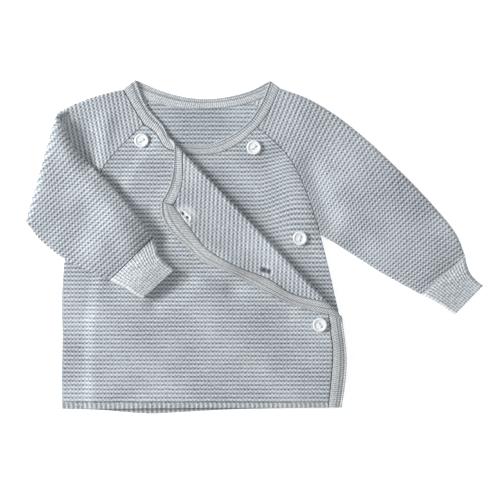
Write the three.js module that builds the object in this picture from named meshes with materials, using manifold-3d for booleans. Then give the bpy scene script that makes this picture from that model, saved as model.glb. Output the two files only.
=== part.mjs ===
// A wrap-over baby cardigan lying flat, front up, in millimetres. The right front wraps over the left
// front and its upper edge is turned back; the right sleeve is folded over onto the body.
// The garment frame has X across it, Y up from the hem line and Z up from the surface it lies on.
import * as THREE from "three";
import { mergeVertices } from "three/addons/utils/BufferGeometryUtils.js";
import Module from "manifold-3d";

const CLOTH = 2.4; // thickness of the garter-stitch cloth
const TRIM = 2.0; // thickness of the bands, hems and cuffs
const GAP = 0.3; // clearance between neighbouring pieces
const HEM_TRIM = 5; // width of the hem trim

const LEVEL_FRONT = CLOTH + GAP; // underside of a front that lies on the back
const STEP = CLOTH + GAP; // how far one more layer lifts the cloth above it
const RAMP_WIDTH = 11; // run of the slope beside the under front's hidden edge
const RAMP_CLEAR = 1.5; // flat margin kept outside that edge
const BRIDGE = { clear: 5, width: 24 }; // the gentler slope of the stiff forearm across that ramp

const FLAP_RADIUS = 1.0; // inner radius of the turned-back flap's roll
const FLAP_SETTLE = 16; // distance in which the flap sinks onto the front
const SLEEVE_RADIUS = 1.0; // inner radius of the folded sleeve's roll
const SLEEVE_SETTLE = 22; // distance in which the folded sleeve sinks onto what it covers
const SLEEVE_STACK = 2 * CLOTH + 2 * GAP; // two layers of a flattened sleeve

const BUTTON_RADIUS = 6.3;
const BUTTON_THICKNESS = 2.6;
const BUTTON_DISH = 0.7; // depth of the recess in the button's face
const HOLE_RADIUS = 0.8;
const HOLE_SPACING = 3.8;
const BUTTONHOLE_LENGTH = 10;
const BUTTONHOLE_WIDTH = 2;

// ---------- small tools for plan curves ----------
const sub = (a, b) => [a[0] - b[0], a[1] - b[1]];
const along = (a, d, s) => [a[0] + d[0] * s, a[1] + d[1] * s];
const mix = (a, b, f) => a.map((v, i) => v + (b[i] - v) * f);
const dot = (a, b) => a[0] * b[0] + a[1] * b[1];
const unit = (a) => along([0, 0], a, 1 / Math.hypot(...a));
const clamp = (v, low = 0, high = 1) => Math.min(high, Math.max(low, v));
const smooth = (low, high, v) => THREE.MathUtils.smoothstep(v, low, high);

// Points at equal spacing on a smooth curve through the given points.
function curve(points, count) {
  const path = new THREE.CatmullRomCurve3(points.map(([x, y]) => new THREE.Vector3(x, y, 0)), false,
    "centripetal");
  path.arcLengthDivisions = 400;
  return path.getSpacedPoints(count).map((p) => [p.x, p.y]);
}

// The point a share of the way along a polyline.
function pointAt(line, share) {
  const steps = line.slice(1).map((p, i) => Math.hypot(...sub(p, line[i])));
  let left = clamp(share) * steps.reduce((a, b) => a + b, 0);
  for (let i = 0; i < steps.length; i++) {
    if (left <= steps[i] || i === steps.length - 1) return mix(line[i], line[i + 1], left / (steps[i] || 1));
    left -= steps[i];
  }
}
const lengthOf = (points) => points.slice(1).reduce((sum, p, i) => sum + Math.hypot(...sub(p, points[i])), 0);
const spread = (line, count) => Array.from({ length: count + 1 }, (_, i) => pointAt(line, i / count));

// A polyline moved sideways, to its left for a positive distance.
function offset(line, distance) {
  return line.map((p, i) => {
    const before = unit(sub(line[Math.max(i, 1)], line[Math.max(i, 1) - 1]));
    const next = Math.min(i + 1, line.length - 1);
    const after = unit(sub(line[next], line[next - 1]));
    const normal = unit([-(before[1] + after[1]), before[0] + after[0]]);
    const miter = distance / Math.max(0.35, -before[1] * normal[0] + before[0] * normal[1]);
    return along(p, normal, miter);
  });
}

// A closed ring of joined sides, each moved inwards by a distance, as the same sides again.
function inset(sides, distance) {
  const ring = sides.flatMap((side) => side.slice(0, -1));
  const n = ring.length;
  const area = ring.reduce((sum, p, i) => sum + p[0] * ring[(i + 1) % n][1] - p[1] * ring[(i + 1) % n][0], 0);
  const inwards = Math.sign(area) * distance;
  const moved = ring.map((p, i) => {
    const before = unit(sub(p, ring[(i + n - 1) % n]));
    const after = unit(sub(ring[(i + 1) % n], p));
    const normal = unit([-(before[1] + after[1]), before[0] + after[0]]);
    return along(p, normal, inwards / Math.max(0.4, -before[1] * normal[0] + before[0] * normal[1]));
  });
  let start = 0;
  return sides.map((side) => {
    const piece = Array.from({ length: side.length }, (_, i) => moved[(start + i) % n]);
    start += side.length - 1;
    return piece;
  });
}

// Splits a polyline where a signed distance changes sign, and gives both parts with the crossing.
function splitWhere(line, signed) {
  for (let i = 1; i < line.length; i++) {
    const a = signed(line[i - 1]), b = signed(line[i]);
    if (a <= 0 && b > 0) {
      const cross = mix(line[i - 1], line[i], a / (a - b));
      return [[...line.slice(0, i), cross], [cross, ...line.slice(i)]];
    }
  }
  throw new Error("the curve doesn't cross the line");
}

// A smooth patch inside four sides, each a function of its share: bottom and top run across.
function coons(bottom, top, left, right) {
  const corners = [bottom(0), bottom(1), top(0), top(1)];
  return (u, v) => {
    const b = bottom(u), t = top(u), l = left(v), r = right(v);
    const even = mix(mix(corners[0], corners[1], u), mix(corners[2], corners[3], u), v);
    return [0, 1].map((i) => (1 - v) * b[i] + v * t[i] + (1 - u) * l[i] + u * r[i] - even[i]);
  };
}

// ---------- solids from sheets ----------
// A closed body from rows of points on the upper and the lower surface of a sheet.
// Rows may differ in length when the extra cells sit at the end of the longer ones.
function thicken(rows, place) {
  const position = [], index = [], edges = new Map(), id = new Map();
  const vertex = (j, i, h) => {
    const key = `${j},${i},${h}`;
    if (!id.has(key)) {
      id.set(key, position.length / 3);
      position.push(...place(rows[j][i], h));
    }
    return id.get(key);
  };
  const walk = (a, b) => {
    const back = `${b}|${a}`;
    if (edges.has(back)) edges.delete(back);
    else edges.set(`${a}|${b}`, [a, b]);
  };
  for (let j = 1; j < rows.length; j++)
    for (let i = 1; i < Math.min(rows[j].length, rows[j - 1].length); i++) {
      const cell = [[j - 1, i - 1], [j - 1, i], [j, i], [j, i - 1]];
      const [a, b, c, d] = cell.map(([r, k]) => vertex(r, k, 1));
      const [e, f, g, k] = cell.map(([r, s]) => vertex(r, s, 0));
      index.push(a, b, c, a, c, d, e, g, f, e, k, g);
      cell.forEach((p, s) => walk(p.join(), cell[(s + 1) % 4].join()));
    }
  for (const [from, to] of edges.values()) {
    const [a, b] = [from, to].map((p) => p.split(",").map(Number));
    const top = [vertex(...a, 1), vertex(...b, 1)], low = [vertex(...a, 0), vertex(...b, 0)];
    index.push(low[0], low[1], top[1], low[0], top[1], top[0]);
  }
  return closed(position, index);
}

// A tube wall from matching outer and inner rings of points.
function tube(outer, inner) {
  const rings = [...outer, ...inner.slice().reverse()];
  const count = outer[0].length, index = [];
  for (let j = 0; j < rings.length; j++)
    for (let i = 0; i < count; i++) {
      const next = (j + 1) % rings.length, k = (i + 1) % count;
      const [a, b, c, d] = [j * count + i, j * count + k, next * count + k, next * count + i];
      index.push(a, b, c, a, c, d);
    }
  return closed(rings.flat(2), index);
}

// An indexed geometry whose faces point out, with coincident points merged and flat slivers dropped.
function closed(position, index) {
  const raw = new THREE.BufferGeometry();
  raw.setAttribute("position", new THREE.Float32BufferAttribute(position, 3));
  raw.setIndex(index);
  const merged = mergeVertices(raw, 2e-3);
  const kept = [], from = merged.index.array;
  for (let i = 0; i < from.length; i += 3) {
    const [a, b, c] = [from[i], from[i + 1], from[i + 2]];
    if (a !== b && b !== c && c !== a) kept.push(a, b, c);
  }
  let volume = 0;
  const p = merged.attributes.position;
  const [a, b, c] = [new THREE.Vector3(), new THREE.Vector3(), new THREE.Vector3()];
  for (let i = 0; i < kept.length; i += 3) {
    a.fromBufferAttribute(p, kept[i]);
    b.fromBufferAttribute(p, kept[i + 1]);
    c.fromBufferAttribute(p, kept[i + 2]);
    volume += a.dot(b.cross(c)) / 6;
  }
  merged.setIndex(volume < 0 ? kept.reverse() : kept);
  return merged;
}

// ---------- rolls: where cloth turns back over itself ----------
// The crease runs from start to end on the plan; out points away from the flat part. A stack of cloth
// rolls round an axis set in from the crease, and lies face down beyond it.
class Roll {
  constructor(start, end, outwards, radius, stack, settle) {
    this.along = unit(sub(end, start));
    this.out = [-this.along[1] * outwards, this.along[0] * outwards];
    Object.assign(this, { radius, stack, settle });
    this.arc = Math.PI * (radius + stack / 2);
    this.origin = along(start, this.out, -radius - stack);
  }
  across(p) {
    return dot(sub(p, this.origin), this.out);
  }
  down(p) {
    return dot(sub(p, this.origin), this.along);
  }
  // Where a laid point beyond the crease lies when the cloth is spread flat.
  unfold(p) {
    return along(p, this.out, this.arc - 2 * this.across(p));
  }
  // A point of the flat cloth, a height above its underside, as it lies.
  place(p, height, stack, underside, floor) {
    const s = this.across(p);
    if (s <= 0) return [...p, underside(p) + height];
    const foot = along(p, this.out, -s);
    if (s < this.arc) {
      const angle = (Math.PI * s) / this.arc, reach = this.radius + this.stack - height;
      const axis = underside(foot) + this.stack + this.radius;
      return [...along(foot, this.out, reach * Math.sin(angle)), axis - reach * Math.cos(angle)];
    }
    const laid = along(foot, this.out, this.arc - s);
    const rest = 2 * this.radius - GAP;
    const low = floor(laid) + GAP + rest * (1 - smooth(0, this.settle, s - this.arc));
    return [...laid, low + stack - height];
  }
}

// ---------- outlines of the cut pieces, laid flat ----------
const CREASE = { start: [-25.8, 230.5], end: [116.1, 82.6] }; // the right front's turned-back crease
const SLEEVE_CREASE = { start: [-124.7, 256.3], end: [-150.5, 166] };
const flapRoll = new Roll(CREASE.start, CREASE.end, 1, FLAP_RADIUS, CLOTH, FLAP_SETTLE);
const sleeveRoll = new Roll(SLEEVE_CREASE.start, SLEEVE_CREASE.end, -1, SLEEVE_RADIUS, SLEEVE_STACK,
  SLEEVE_SETTLE);
const onFlap = (points) => points.map((p) => flapRoll.unfold(p));
const onForearm = (points) => points.map((p) => sleeveRoll.unfold(p));

const HEM_Y = HEM_TRIM; // height of the hem seams
const SIDE_LEFT = [[121, HEM_Y], [122.5, 22], [122, 48], [119.5, 74], [114.5, 98],
  [108.5, 124], [102.3, 149]];
const SIDE_RIGHT = [[-121, HEM_Y], [-121, 30], [-120.5, 60], [-121, 90], [-120, 112],
  [-118, 130], [-112, 148]];
const FRONT_RAGLAN_LEFT = [[102.3, 149], [92, 181], [80, 208], [67, 225.5], [48, 241.5]];
const FRONT_RAGLAN_RIGHT = [[-112, 148], [-98, 179], [-86, 205], [-69, 226], [-50, 244]];
const BACK_RAGLAN_LEFT = [[102.3, 149], [94, 182], [80, 214], [62, 243], [44, 263.2]];
const BACK_RAGLAN_RIGHT = [[-112, 148], [-98, 184], [-82, 216], [-64, 244], [-45, 264.4]];
const BACK_NECK_MIDDLE = [[44, 263.2], [30, 259.8], [6, 257.5], [-20, 258.2], [-45, 264.4]];
const BACK_NECK_SIDE_LEFT = [[67.3, 275.5], [57, 269], [44, 263.2]];
const BACK_NECK_SIDE_RIGHT = [[-45, 264.4], [-56, 268.6], [-68, 274.5]];
const BACK_NECK_FREE = [[58.5, 282], [42, 273.5], [23, 268.3], [3, 266.3], [-17, 268.3], [-36, 273.6],
  [-57.3, 282.5]];

// The under front: its neck, and its front edge hidden below the over front.
const LEFT_NECK_SLEEVE = [[67.3, 275.5], [57.6, 254.5], [48, 241.5]];
const LEFT_NECK_FRONT = [[48, 241.5], [32, 227.6], [19, 220.6], [3, 217.8], [-12, 218.4], [-25, 220.5]];
const LEFT_NECK_FREE = [[58.5, 282], [52, 265], [41.5, 248], [30.5, 238.5], [15, 230], [3, 226.6], [-15, 227],
  [-34, 229]];
const LEFT_EDGE_FREE = [[-34, 229], [-57, 198], [-70, 165], [-79, 134], [-86, 100], [-90, 67],
  [-91, 30], [-91, 0]];
const LEFT_EDGE_SEAM = [[-25, 220.5], [-46.5, 192], [-58.5, 161.5], [-67.5, 131], [-74.5, 98], [-78.5, 66],
  [-79.5, 30], [-79.5, 0]];

// The over front: its neck and its front edge both run on over the crease onto the turned-back flap.
const RIGHT_NECK_SLEEVE = [[-68, 274.5], [-59.5, 259], [-50, 244]];
const RIGHT_NECK_FRONT = [[-50, 244], [-40, 236.5], [-30.5, 223.2],
  ...onFlap([[-16.3, 212.4], [-17, 191], [-24, 174]])];
const RIGHT_NECK_FREE = [[-57.3, 282.5], [-48, 260], [-34, 243.5], [-25.8, 230.8],
  ...onFlap([[-24.5, 208], [-28.4, 190], [-35.3, 177.2]])];
const RIGHT_EDGE_SEAM = [...onFlap([[-24, 174], [-9.5, 154], [4.5, 137], [31, 121.5], [57.5, 111], [80, 97.5]]),
  [110.8, 65], [112.7, 50], [111, 22], [108.5, 0]];
const RIGHT_EDGE_FREE = [...onFlap([[-35.3, 177.2], [-34.4, 164], [-26.7, 151.5], [-12.9, 138.5], [-1.7, 127.3],
  [25, 116], [55, 99.5], [77.5, 88.6], [100.6, 82.6]]), [122.1, 67], [124.7, 40], [122.6, 15], [120, 0]];

// ---------- heights ----------
// Distance of a plan point outside the under front, whose hidden edges are its neck and front edge.
const hiddenEdge = [...curve(LEFT_NECK_FREE, 24), ...curve(LEFT_EDGE_FREE, 30).slice(1)];
function outsideUnderFront(p) {
  let best = Infinity, side = 0;
  for (let i = 1; i < hiddenEdge.length; i++) {
    const step = sub(hiddenEdge[i], hiddenEdge[i - 1]), from = sub(p, hiddenEdge[i - 1]);
    const away = sub(from, along([0, 0], step, clamp(dot(from, step) / dot(step, step))));
    const distance = Math.hypot(...away);
    if (distance < best) [best, side] = [distance, step[0] * from[1] - step[1] * from[0]];
  }
  return side > 0 ? -best : best;
}
const lift = (p) => 1 - smooth(RAMP_CLEAR, RAMP_CLEAR + RAMP_WIDTH, outsideUnderFront(p));
const wideLift = (p) => 1 - smooth(BRIDGE.clear, BRIDGE.clear + BRIDGE.width, outsideUnderFront(p));
const overUnderside = (p) => LEVEL_FRONT + STEP * lift(p);
const overTop = (p) => overUnderside(p) + CLOTH;
const sleeveFloor = (p) => SLEEVE_STACK + STEP * wideLift(p);

const flat = (level, thickness) => (p, h) => [...p, level + thickness * h];
const onOver = (thickness) => (p, h) =>
  flapRoll.place(p, CLOTH / 2 + (h - 0.5) * thickness, CLOTH, overUnderside, overTop);

// ---------- panels ----------
const line = (points) => (share) => pointAt(points, share);
const marks = (points) => (share) => points[Math.round(share * (points.length - 1))];
const grid = (surface, across, up) =>
  Array.from({ length: up + 1 }, (_, j) => Array.from({ length: across + 1 }, (_, i) => surface(i / across, j / up)));

// A panel whose rows end on the given points of its left and right sides, listed from the hem up.
function panel(bottom, right, top, left, across) {
  const [b, r, t, l] = inset([bottom, right, top, [...left].reverse()], GAP / 2);
  return grid(coons(line(b), line([...t].reverse()), marks([...l].reverse()), marks(r)), across, right.length - 1);
}
const RAGLAN_CELLS = { left: 6, right: 6 }; // cells along each raglan seam
const SIDE_CELLS = { left: 5, right: 5 }; // cells along each side seam

const BACK_CELLS = 10; // cells across the back
const backHemSeam = curve([[-121, HEM_Y], [-62, 2], [-44, 1], [0, 3], [60, 4.5], [121, HEM_Y]], BACK_CELLS);
const backPanel = thicken(
  panel(
    backHemSeam,
    [...curve(SIDE_LEFT, SIDE_CELLS.left), ...curve(BACK_RAGLAN_LEFT, RAGLAN_CELLS.left).slice(1)],
    curve(BACK_NECK_MIDDLE, BACK_CELLS),
    [...curve(SIDE_RIGHT, SIDE_CELLS.right), ...curve(BACK_RAGLAN_RIGHT, RAGLAN_CELLS.right).slice(1)],
    BACK_CELLS),
  flat(0, CLOTH));

const leftEdgeSide = spread(
  curve(LEFT_EDGE_SEAM, 40).filter((p) => p[1] > HEM_Y).concat([[-79.5, HEM_Y]]), SIDE_CELLS.left + RAGLAN_CELLS.left);
const leftFront = thicken(
  panel(
    curve([[-79.5, HEM_Y], [20, HEM_Y], [121, HEM_Y]], 20),
    [...curve(SIDE_LEFT, SIDE_CELLS.left), ...curve(FRONT_RAGLAN_LEFT, RAGLAN_CELLS.left).slice(1)],
    curve(LEFT_NECK_FRONT, 16),
    [...leftEdgeSide].reverse(),
    12),
  flat(LEVEL_FRONT, CLOTH));

// How far along a row of a patch its points come within a distance of the under front.
function shareWhere(surface, v, reach) {
  for (let u = 0; u < 0.9; u += 0.01) if (outsideUnderFront(surface(u, v)) < reach) return Math.max(u, 0.05);
  return reach > RAMP_CLEAR ? 0.3 : 0.6;
}

// The over front: rows run from the side seam to the crease or the front edge, and on over the flap.
// Its cells across count those before the ramp, on the ramp and beyond it. Rows lie closer together
// where the flap's tip rolls over the crease.
const CREASE_SHARES = [0, 0.02, 0.04, 0.065, 0.1, 0.15, 0.22, 0.3, 0.38, 0.46, 0.54, 0.62, 0.7,
  0.78, 0.86, 0.93, 1];
function overFrontRows(across, flapAcross, below) {
  const above = CREASE_SHARES.length - 1;
  const marked = (points) => CREASE_SHARES.map((share) => pointAt(points, share));
  const hem = curve([[-121, HEM_Y], [0, HEM_Y], [109, HEM_Y]], 20);
  const edge = curve(RIGHT_EDGE_SEAM, 90).filter((p) => p[1] > HEM_Y).concat([[109, HEM_Y]]).reverse();
  const neck = curve(RIGHT_NECK_FRONT, 50).reverse();
  const seam = [...curve(FRONT_RAGLAN_RIGHT, RAGLAN_CELLS.right).reverse(),
    ...curve(SIDE_RIGHT, 40).reverse().slice(1)];
  const [b, r, t, l] = inset([hem, edge, neck, seam], GAP / 2);
  const [straight, flapEdge] = splitWhere(r, (p) => flapRoll.across(p));
  const [bodyNeck, flapNeck] = splitWhere([...t].reverse(), (p) => flapRoll.across(p));
  const crease = marked([straight.at(-1), bodyNeck.at(-1)]);
  const side = [...l].reverse(), underarm = side.length - 1 - RAGLAN_CELLS.right;
  const level = side.findIndex((p) => p[1] > straight.at(-1)[1]);
  const left = [...spread(side.slice(0, level + 1), below),
    ...spread(side.slice(level, underarm + 1), above - RAGLAN_CELLS.right).slice(1), ...side.slice(underarm + 1)];
  const right = [...spread(straight, below), ...crease.slice(1)];
  const body = coons(line(b), line(bodyNeck), marks(left), marks(right));
  const rows = Array.from({ length: below + above + 1 }, (_, j) => {
    const v = j / (below + above), foot = shareWhere(body, v, RAMP_CLEAR + RAMP_WIDTH);
    return [...spread([[0, 0], [foot, 0]], across[0]),
      ...spread([[foot, 0], [shareWhere(body, v, RAMP_CLEAR), 0]], across[1]).slice(1),
      ...spread([[shareWhere(body, v, RAMP_CLEAR), 0], [1, 0]], across[2]).slice(1)].map(([u]) => body(u, v));
  });
  const flap = coons(() => crease[0], line(flapNeck), marks(crease), marks(marked(flapEdge)));
  const rollCells = 6;
  for (let j = 0; j <= above; j++) {
    const v = j / above, width = Math.hypot(...sub(flap(1, v), flap(0, v)));
    const firm = Math.min(flapRoll.arc * 1.02, (width * rollCells) / flapAcross);
    for (let i = 1; i <= flapAcross; i++) {
      const reach = i <= rollCells ? (firm * i) / rollCells
        : firm + ((width - firm) * (i - rollCells)) / (flapAcross - rollCells);
      rows[below + j].push(flap(width > 0 ? reach / width : 0, v));
    }
  }
  return rows;
}
const wasm = await Module();
wasm.setup();
const solidOf = (geometry) => new wasm.Manifold(new wasm.Mesh({
  numProp: 3, vertProperties: geometry.attributes.position.array,
  triVerts: new Uint32Array(geometry.index.array) }));
function geometryOf(solid) {
  const { vertProperties, triVerts } = solid.getMesh();
  const geometry = new THREE.BufferGeometry();
  geometry.setAttribute("position", new THREE.BufferAttribute(vertProperties, 3));
  geometry.setIndex(new THREE.BufferAttribute(triVerts, 1));
  return geometry;
}
const bare = (geometry) => {
  geometry.deleteAttribute("normal");
  geometry.deleteAttribute("uv");
  return mergeVertices(geometry, 1e-3);
};

// Buttonholes: slots through the over front, where their middle lies, their direction and their height range.
const BUTTONHOLES = [
  { at: [-12.8, 166.5], turn: -40, from: 8.2, to: 13 },
  { at: [55.7, 118.1], turn: -16, from: 8.2, to: 13 },
  { at: [101.5, 71.4], turn: 0, from: 5.2, to: 8.1 },
];
function slot({ at, turn, from, to }) {
  const shape = new THREE.Shape(), r = BUTTONHOLE_WIDTH / 2, half = BUTTONHOLE_LENGTH / 2 - r;
  shape.absarc(half, 0, r, -Math.PI / 2, Math.PI / 2).absarc(-half, 0, r, Math.PI / 2, (3 * Math.PI) / 2);
  const prism = new THREE.ExtrudeGeometry(shape, { depth: to - from, bevelEnabled: false, curveSegments: 4 });
  prism.rotateZ(THREE.MathUtils.degToRad(turn)).translate(at[0], at[1], from);
  return bare(prism);
}
const rightFront = geometryOf(BUTTONHOLES.reduce(
  (cloth, hole) => cloth.subtract(solidOf(slot(hole))),
  solidOf(thicken(overFrontRows([2, 4, 5], 13, 6), onOver(CLOTH)))));

// ---------- trims: strips between a seam and a free edge ----------
const BAND_SHARES = [0, 0.5, 0.88, 1]; // where a band's lengthwise lines lie across it
const ROLLED_SHARES = [0, 0.19, 0.38, 0.57, 0.76, 0.91, 1]; // the same where it rolls over the crease
const edgeThickness = (share) => (share > 0.99 ? 0.45 : share > 0.87 ? 0.9 : 1);

const STRIP_CLEAR = 0.3; // half a strip's seam gap, wider where short straight facets meet on a curve
function strip(seam, free, steps, shares, place, clear = STRIP_CLEAR) {
  const ends = [[seam.at(-1), free.at(-1)], [free[0], seam[0]]];
  const sample = (points) => (Array.isArray(steps) ? steps.map((v) => pointAt(points, v)) : spread(points, steps));
  const [s, , f] = inset([sample(seam), ends[0], sample(free).reverse(), ends[1]], clear);
  const back = [...f].reverse();
  const rows = s.map((p, j) => shares.map((share) => mix(p, back[j], share)));
  const share = new Map(rows.flatMap((row) => row.map((p, i) => [p, shares[i]])));
  return thicken(rows, (p, h) => place(p, 0.5 + (h - 0.5) * edgeThickness(share.get(p))));
}
const backNeckSeam = [...curve(BACK_NECK_SIDE_LEFT, 6), ...curve(BACK_NECK_MIDDLE, 16).slice(1),
  ...curve(BACK_NECK_SIDE_RIGHT, 6).slice(1)];
const leftNeckSeam = [...curve(LEFT_NECK_SLEEVE, 8), ...curve(LEFT_NECK_FRONT, 16).slice(1)];
const rightNeckSeam = [...curve(RIGHT_NECK_SLEEVE, 8), ...curve(RIGHT_NECK_FRONT, 50).slice(1)];
// Shares along a curve, close together where it turns over the crease.
function closeOnRoll(points, wide, close) {
  const length = lengthOf(points), shares = [0];
  for (let at = 0; at < length - wide * 0.6;) {
    at += Math.abs(flapRoll.across(pointAt(points, at / length)) - flapRoll.arc / 2) < 13 ? close : wide;
    shares.push(Math.min(at / length, 1));
  }
  return [...shares.slice(0, -1), 1];
}
const TRIM_INSET = (CLOTH - TRIM) / 2; // trims lie at the middle of the cloth's thickness

// On the neck above the crease's end the band lies flat, and it turns over within a short length.
const TURN = { from: -9, to: 2 };
function onNeck(p, h) {
  const height = CLOTH / 2 + (h - 0.5) * TRIM;
  const turned = flapRoll.place(p, height, CLOTH, overUnderside, overTop);
  const lying = [...p, overUnderside(p) + height];
  return mix(lying, turned, smooth(TURN.from, TURN.to, flapRoll.down(p)));
}
const backNeckband = strip(backNeckSeam, curve(BACK_NECK_FREE, 30), 14, BAND_SHARES, flat(0, TRIM));
const leftNeckband = strip(leftNeckSeam, curve(LEFT_NECK_FREE, 30), 16, BAND_SHARES,
  flat(LEVEL_FRONT + TRIM_INSET, TRIM));
const leftEdgeSeam = [...leftEdgeSide, LEFT_EDGE_SEAM.at(-1)];
const leftEdgeBand = strip(leftEdgeSeam, curve(LEFT_EDGE_FREE, 30), leftEdgeSeam.map((_, i) =>
  lengthOf(leftEdgeSeam.slice(0, i + 1)) / lengthOf(leftEdgeSeam)), BAND_SHARES, flat(LEVEL_FRONT + TRIM_INSET, TRIM));
const rightEdgeSeam = curve(RIGHT_EDGE_SEAM, 90);
const rightNeckband = strip(rightNeckSeam, curve(RIGHT_NECK_FREE, 60), closeOnRoll(rightNeckSeam, 8, 3.5),
  ROLLED_SHARES, onNeck, STRIP_CLEAR + 0.2);
const rightEdgeBand = strip(rightEdgeSeam, curve(RIGHT_EDGE_FREE, 90), closeOnRoll(rightEdgeSeam, 9, 3),
  ROLLED_SHARES, onOver(TRIM), STRIP_CLEAR + 0.15);

const hemStrip = (left, right, freeLine, steps, place) =>
  strip([[left, HEM_Y], [right, HEM_Y]], curve(freeLine, 20), steps, BAND_SHARES, place);
const BACK_HEM_FREE = [[-121, -1], [-88, -2], [-62, -4.3], [-44, -5.2], [-20, -4],
  [20, -1.8], [80, -0.5], [121, 0]];
const backHem = strip(backHemSeam, curve(BACK_HEM_FREE, 20), BACK_CELLS, BAND_SHARES, flat(0, TRIM));
const leftHem = hemStrip(-79.5, 121, [[-79.5, 0], [20, 0], [121, 0.5]],
  12, flat(LEVEL_FRONT + TRIM_INSET, TRIM));
const RAMP_STEPS = [0, 0.04, 0.07, 0.085, 0.1, 0.115, 0.13, 0.25, 0.4, 0.55, 0.7, 0.85, 1]; // close on the ramp
const rightHem = hemStrip(-121, 109, [[-121, -1], [-60, -0.6], [0, 0], [109, 0]], RAMP_STEPS, onOver(TRIM));

// ---------- flattened tubes: sleeves and cuffs ----------
// Each row runs from the tube's lower edge to its upper edge; the ring has rounded folds at both.
const FOLD_ANGLES = [-45, 0, 45].map(THREE.MathUtils.degToRad);

function ring(row, wall, isInner) {
  const { lower, upper, height, front, back, place } = row;
  const width = Math.hypot(...sub(upper, lower)), r = height / 2, rho = isInner ? r - wall : r;
  const share = (distance) => distance / width;
  const at = (distance, z, weight) => {
    const v = share(distance);
    return place(mix(back(v), front(v), weight), z);
  };
  const straight = (shares, z, weight) => shares.map((v) => at(clamp(v * width, r, width - r), z, weight));
  const fold = (angles, end) => angles.map((angle) => {
    const d = r - rho * Math.cos(angle);
    return at(end ? width - d : d, r + rho * Math.sin(angle), (1 + Math.sin(angle)) / 2);
  });
  return [
    ...fold(FOLD_ANGLES, false),
    ...straight(row.frontMarks, r + rho, 1),
    ...fold([...FOLD_ANGLES].reverse(), true),
    ...straight([...row.backMarks].reverse(), r - rho, 0),
  ];
}
const flatTube = (rows, wall) =>
  tube(rows.map((row) => ring(row, wall, false)), rows.map((row) => ring(row, wall, true)));

// How a seam line bows away from the straight row between its ends, at a share of the way along it.
function bowOf(seam) {
  return (v) => sub(pointAt(seam, v), mix(seam[0], seam.at(-1), v));
}

// A raglan sleeve: the first row follows the raglan and the neck, and the bow fades towards the wrist.
function sleeveRows({ raglanFront, neckFront, raglanBack, neckBack, lowers, uppers, heights, bowRows, side, place }) {
  const front = offset([...raglanFront, ...neckFront.slice(1)], side * (GAP / 2));
  const back = offset([...raglanBack, ...neckBack.slice(1)], side * (GAP / 2));
  const marksOn = (seam) => {
    const corner = lengthOf(seam.slice(0, raglanFront.length)) / lengthOf(seam);
    return [...spread([[0, 0], [corner, 0]], raglanFront.length - 1), ...spread([[corner, 0], [1, 0]], 3).slice(1)]
      .map((p) => p[0]);
  };
  const bows = [bowOf(front), bowOf(back)];
  return lowers.map((from, j) => {
    const lower = j ? from : front[0], upper = j ? uppers[j] : front.at(-1);
    const fade = Math.max(0, 1 - j / bowRows) ** 1.4;
    const [bowedFront, bowedBack] = bows.map((bow) => (v) => along(mix(lower, upper, v), bow(v), fade));
    return { lower, upper, height: heights(j), front: bowedFront, back: bowedBack, frontMarks: marksOn(front),
      backMarks: marksOn(back), place: (p, z) => place(p, z, heights(j)) };
  });
}
const table = (values, count) => (j) => {
  const at = (j / count) * (values.length - 1), i = Math.min(Math.floor(at), values.length - 2);
  return THREE.MathUtils.lerp(values[i], values[i + 1], at - i);
};

// The left sleeve lies stretched out. Its edges run from underarm and shoulder to the cuff seam.
const LEFT_SLEEVE = {
  upper: [[67.3, 275.5], [91, 266.6], [114.5, 252.8], [141, 232], [170, 204.8],
    [197, 177], [219.3, 149.6], [227, 130.9]],
  lower: [[102.3, 149], [123, 136], [155.7, 115.2], [188.2, 97.3]],
  heights: [2 * CLOTH + GAP, 6.2, 7, 7, 6.6, 5.6],
};
const LEFT_ROWS = 9;
const leftUppers = spread(curve(LEFT_SLEEVE.upper, 40), LEFT_ROWS);
const leftLowers = spread(curve(LEFT_SLEEVE.lower, 40), LEFT_ROWS);
const leftSleeve = flatTube(sleeveRows({
  raglanFront: curve(FRONT_RAGLAN_LEFT, RAGLAN_CELLS.left), neckFront: curve(LEFT_NECK_SLEEVE, 8).reverse(),
  raglanBack: curve(BACK_RAGLAN_LEFT, RAGLAN_CELLS.left), neckBack: curve(BACK_NECK_SIDE_LEFT, 6).reverse(),
  lowers: leftLowers, uppers: leftUppers, heights: table(LEFT_SLEEVE.heights, LEFT_ROWS), bowRows: 6, side: -1,
  place: (p, z) => [...p, z],
}), CLOTH);

// The right sleeve folds over its crease, so its forearm lies face down across the body.
const RIGHT_SLEEVE = {
  upper: [[-68, 274.5], [-78.5, 272.3], [-100, 266], [-117, 258.5],
    ...onForearm([[-109.2, 223.6], [-93.7, 207.5], [-68, 181], [-52.5, 161], [-41.5, 147.6]])],
  lower: [[-112, 148], [-128, 152], [-145.2, 160.5],
    ...onForearm([[-138, 143], [-120.4, 129.3], [-102, 119.5], [-79.3, 110.4]])],
  heights: [2 * CLOTH + GAP, SLEEVE_STACK],
  forearm: [SLEEVE_STACK, 6.2, 6.6, 5.8],
};
const RIGHT_ROWS = { upperArm: 5, roll: 5, forearm: 8 };
function sleeveEdge(points) {
  const [before, rest] = splitWhere(curve(points, 80), (p) => sleeveRoll.across(p));
  const [roll, after] = splitWhere(rest, (p) => sleeveRoll.across(p) - sleeveRoll.arc);
  const { upperArm, roll: turning, forearm } = RIGHT_ROWS;
  return [...spread(before, upperArm), ...spread(roll, turning).slice(1), ...spread(after, forearm).slice(1)];
}
const turned = RIGHT_ROWS.upperArm + RIGHT_ROWS.roll;
const rightHeights = (j) => (j < turned ? table(RIGHT_SLEEVE.heights, turned)(j)
  : table(RIGHT_SLEEVE.forearm, RIGHT_ROWS.forearm)(j - turned));
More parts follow.
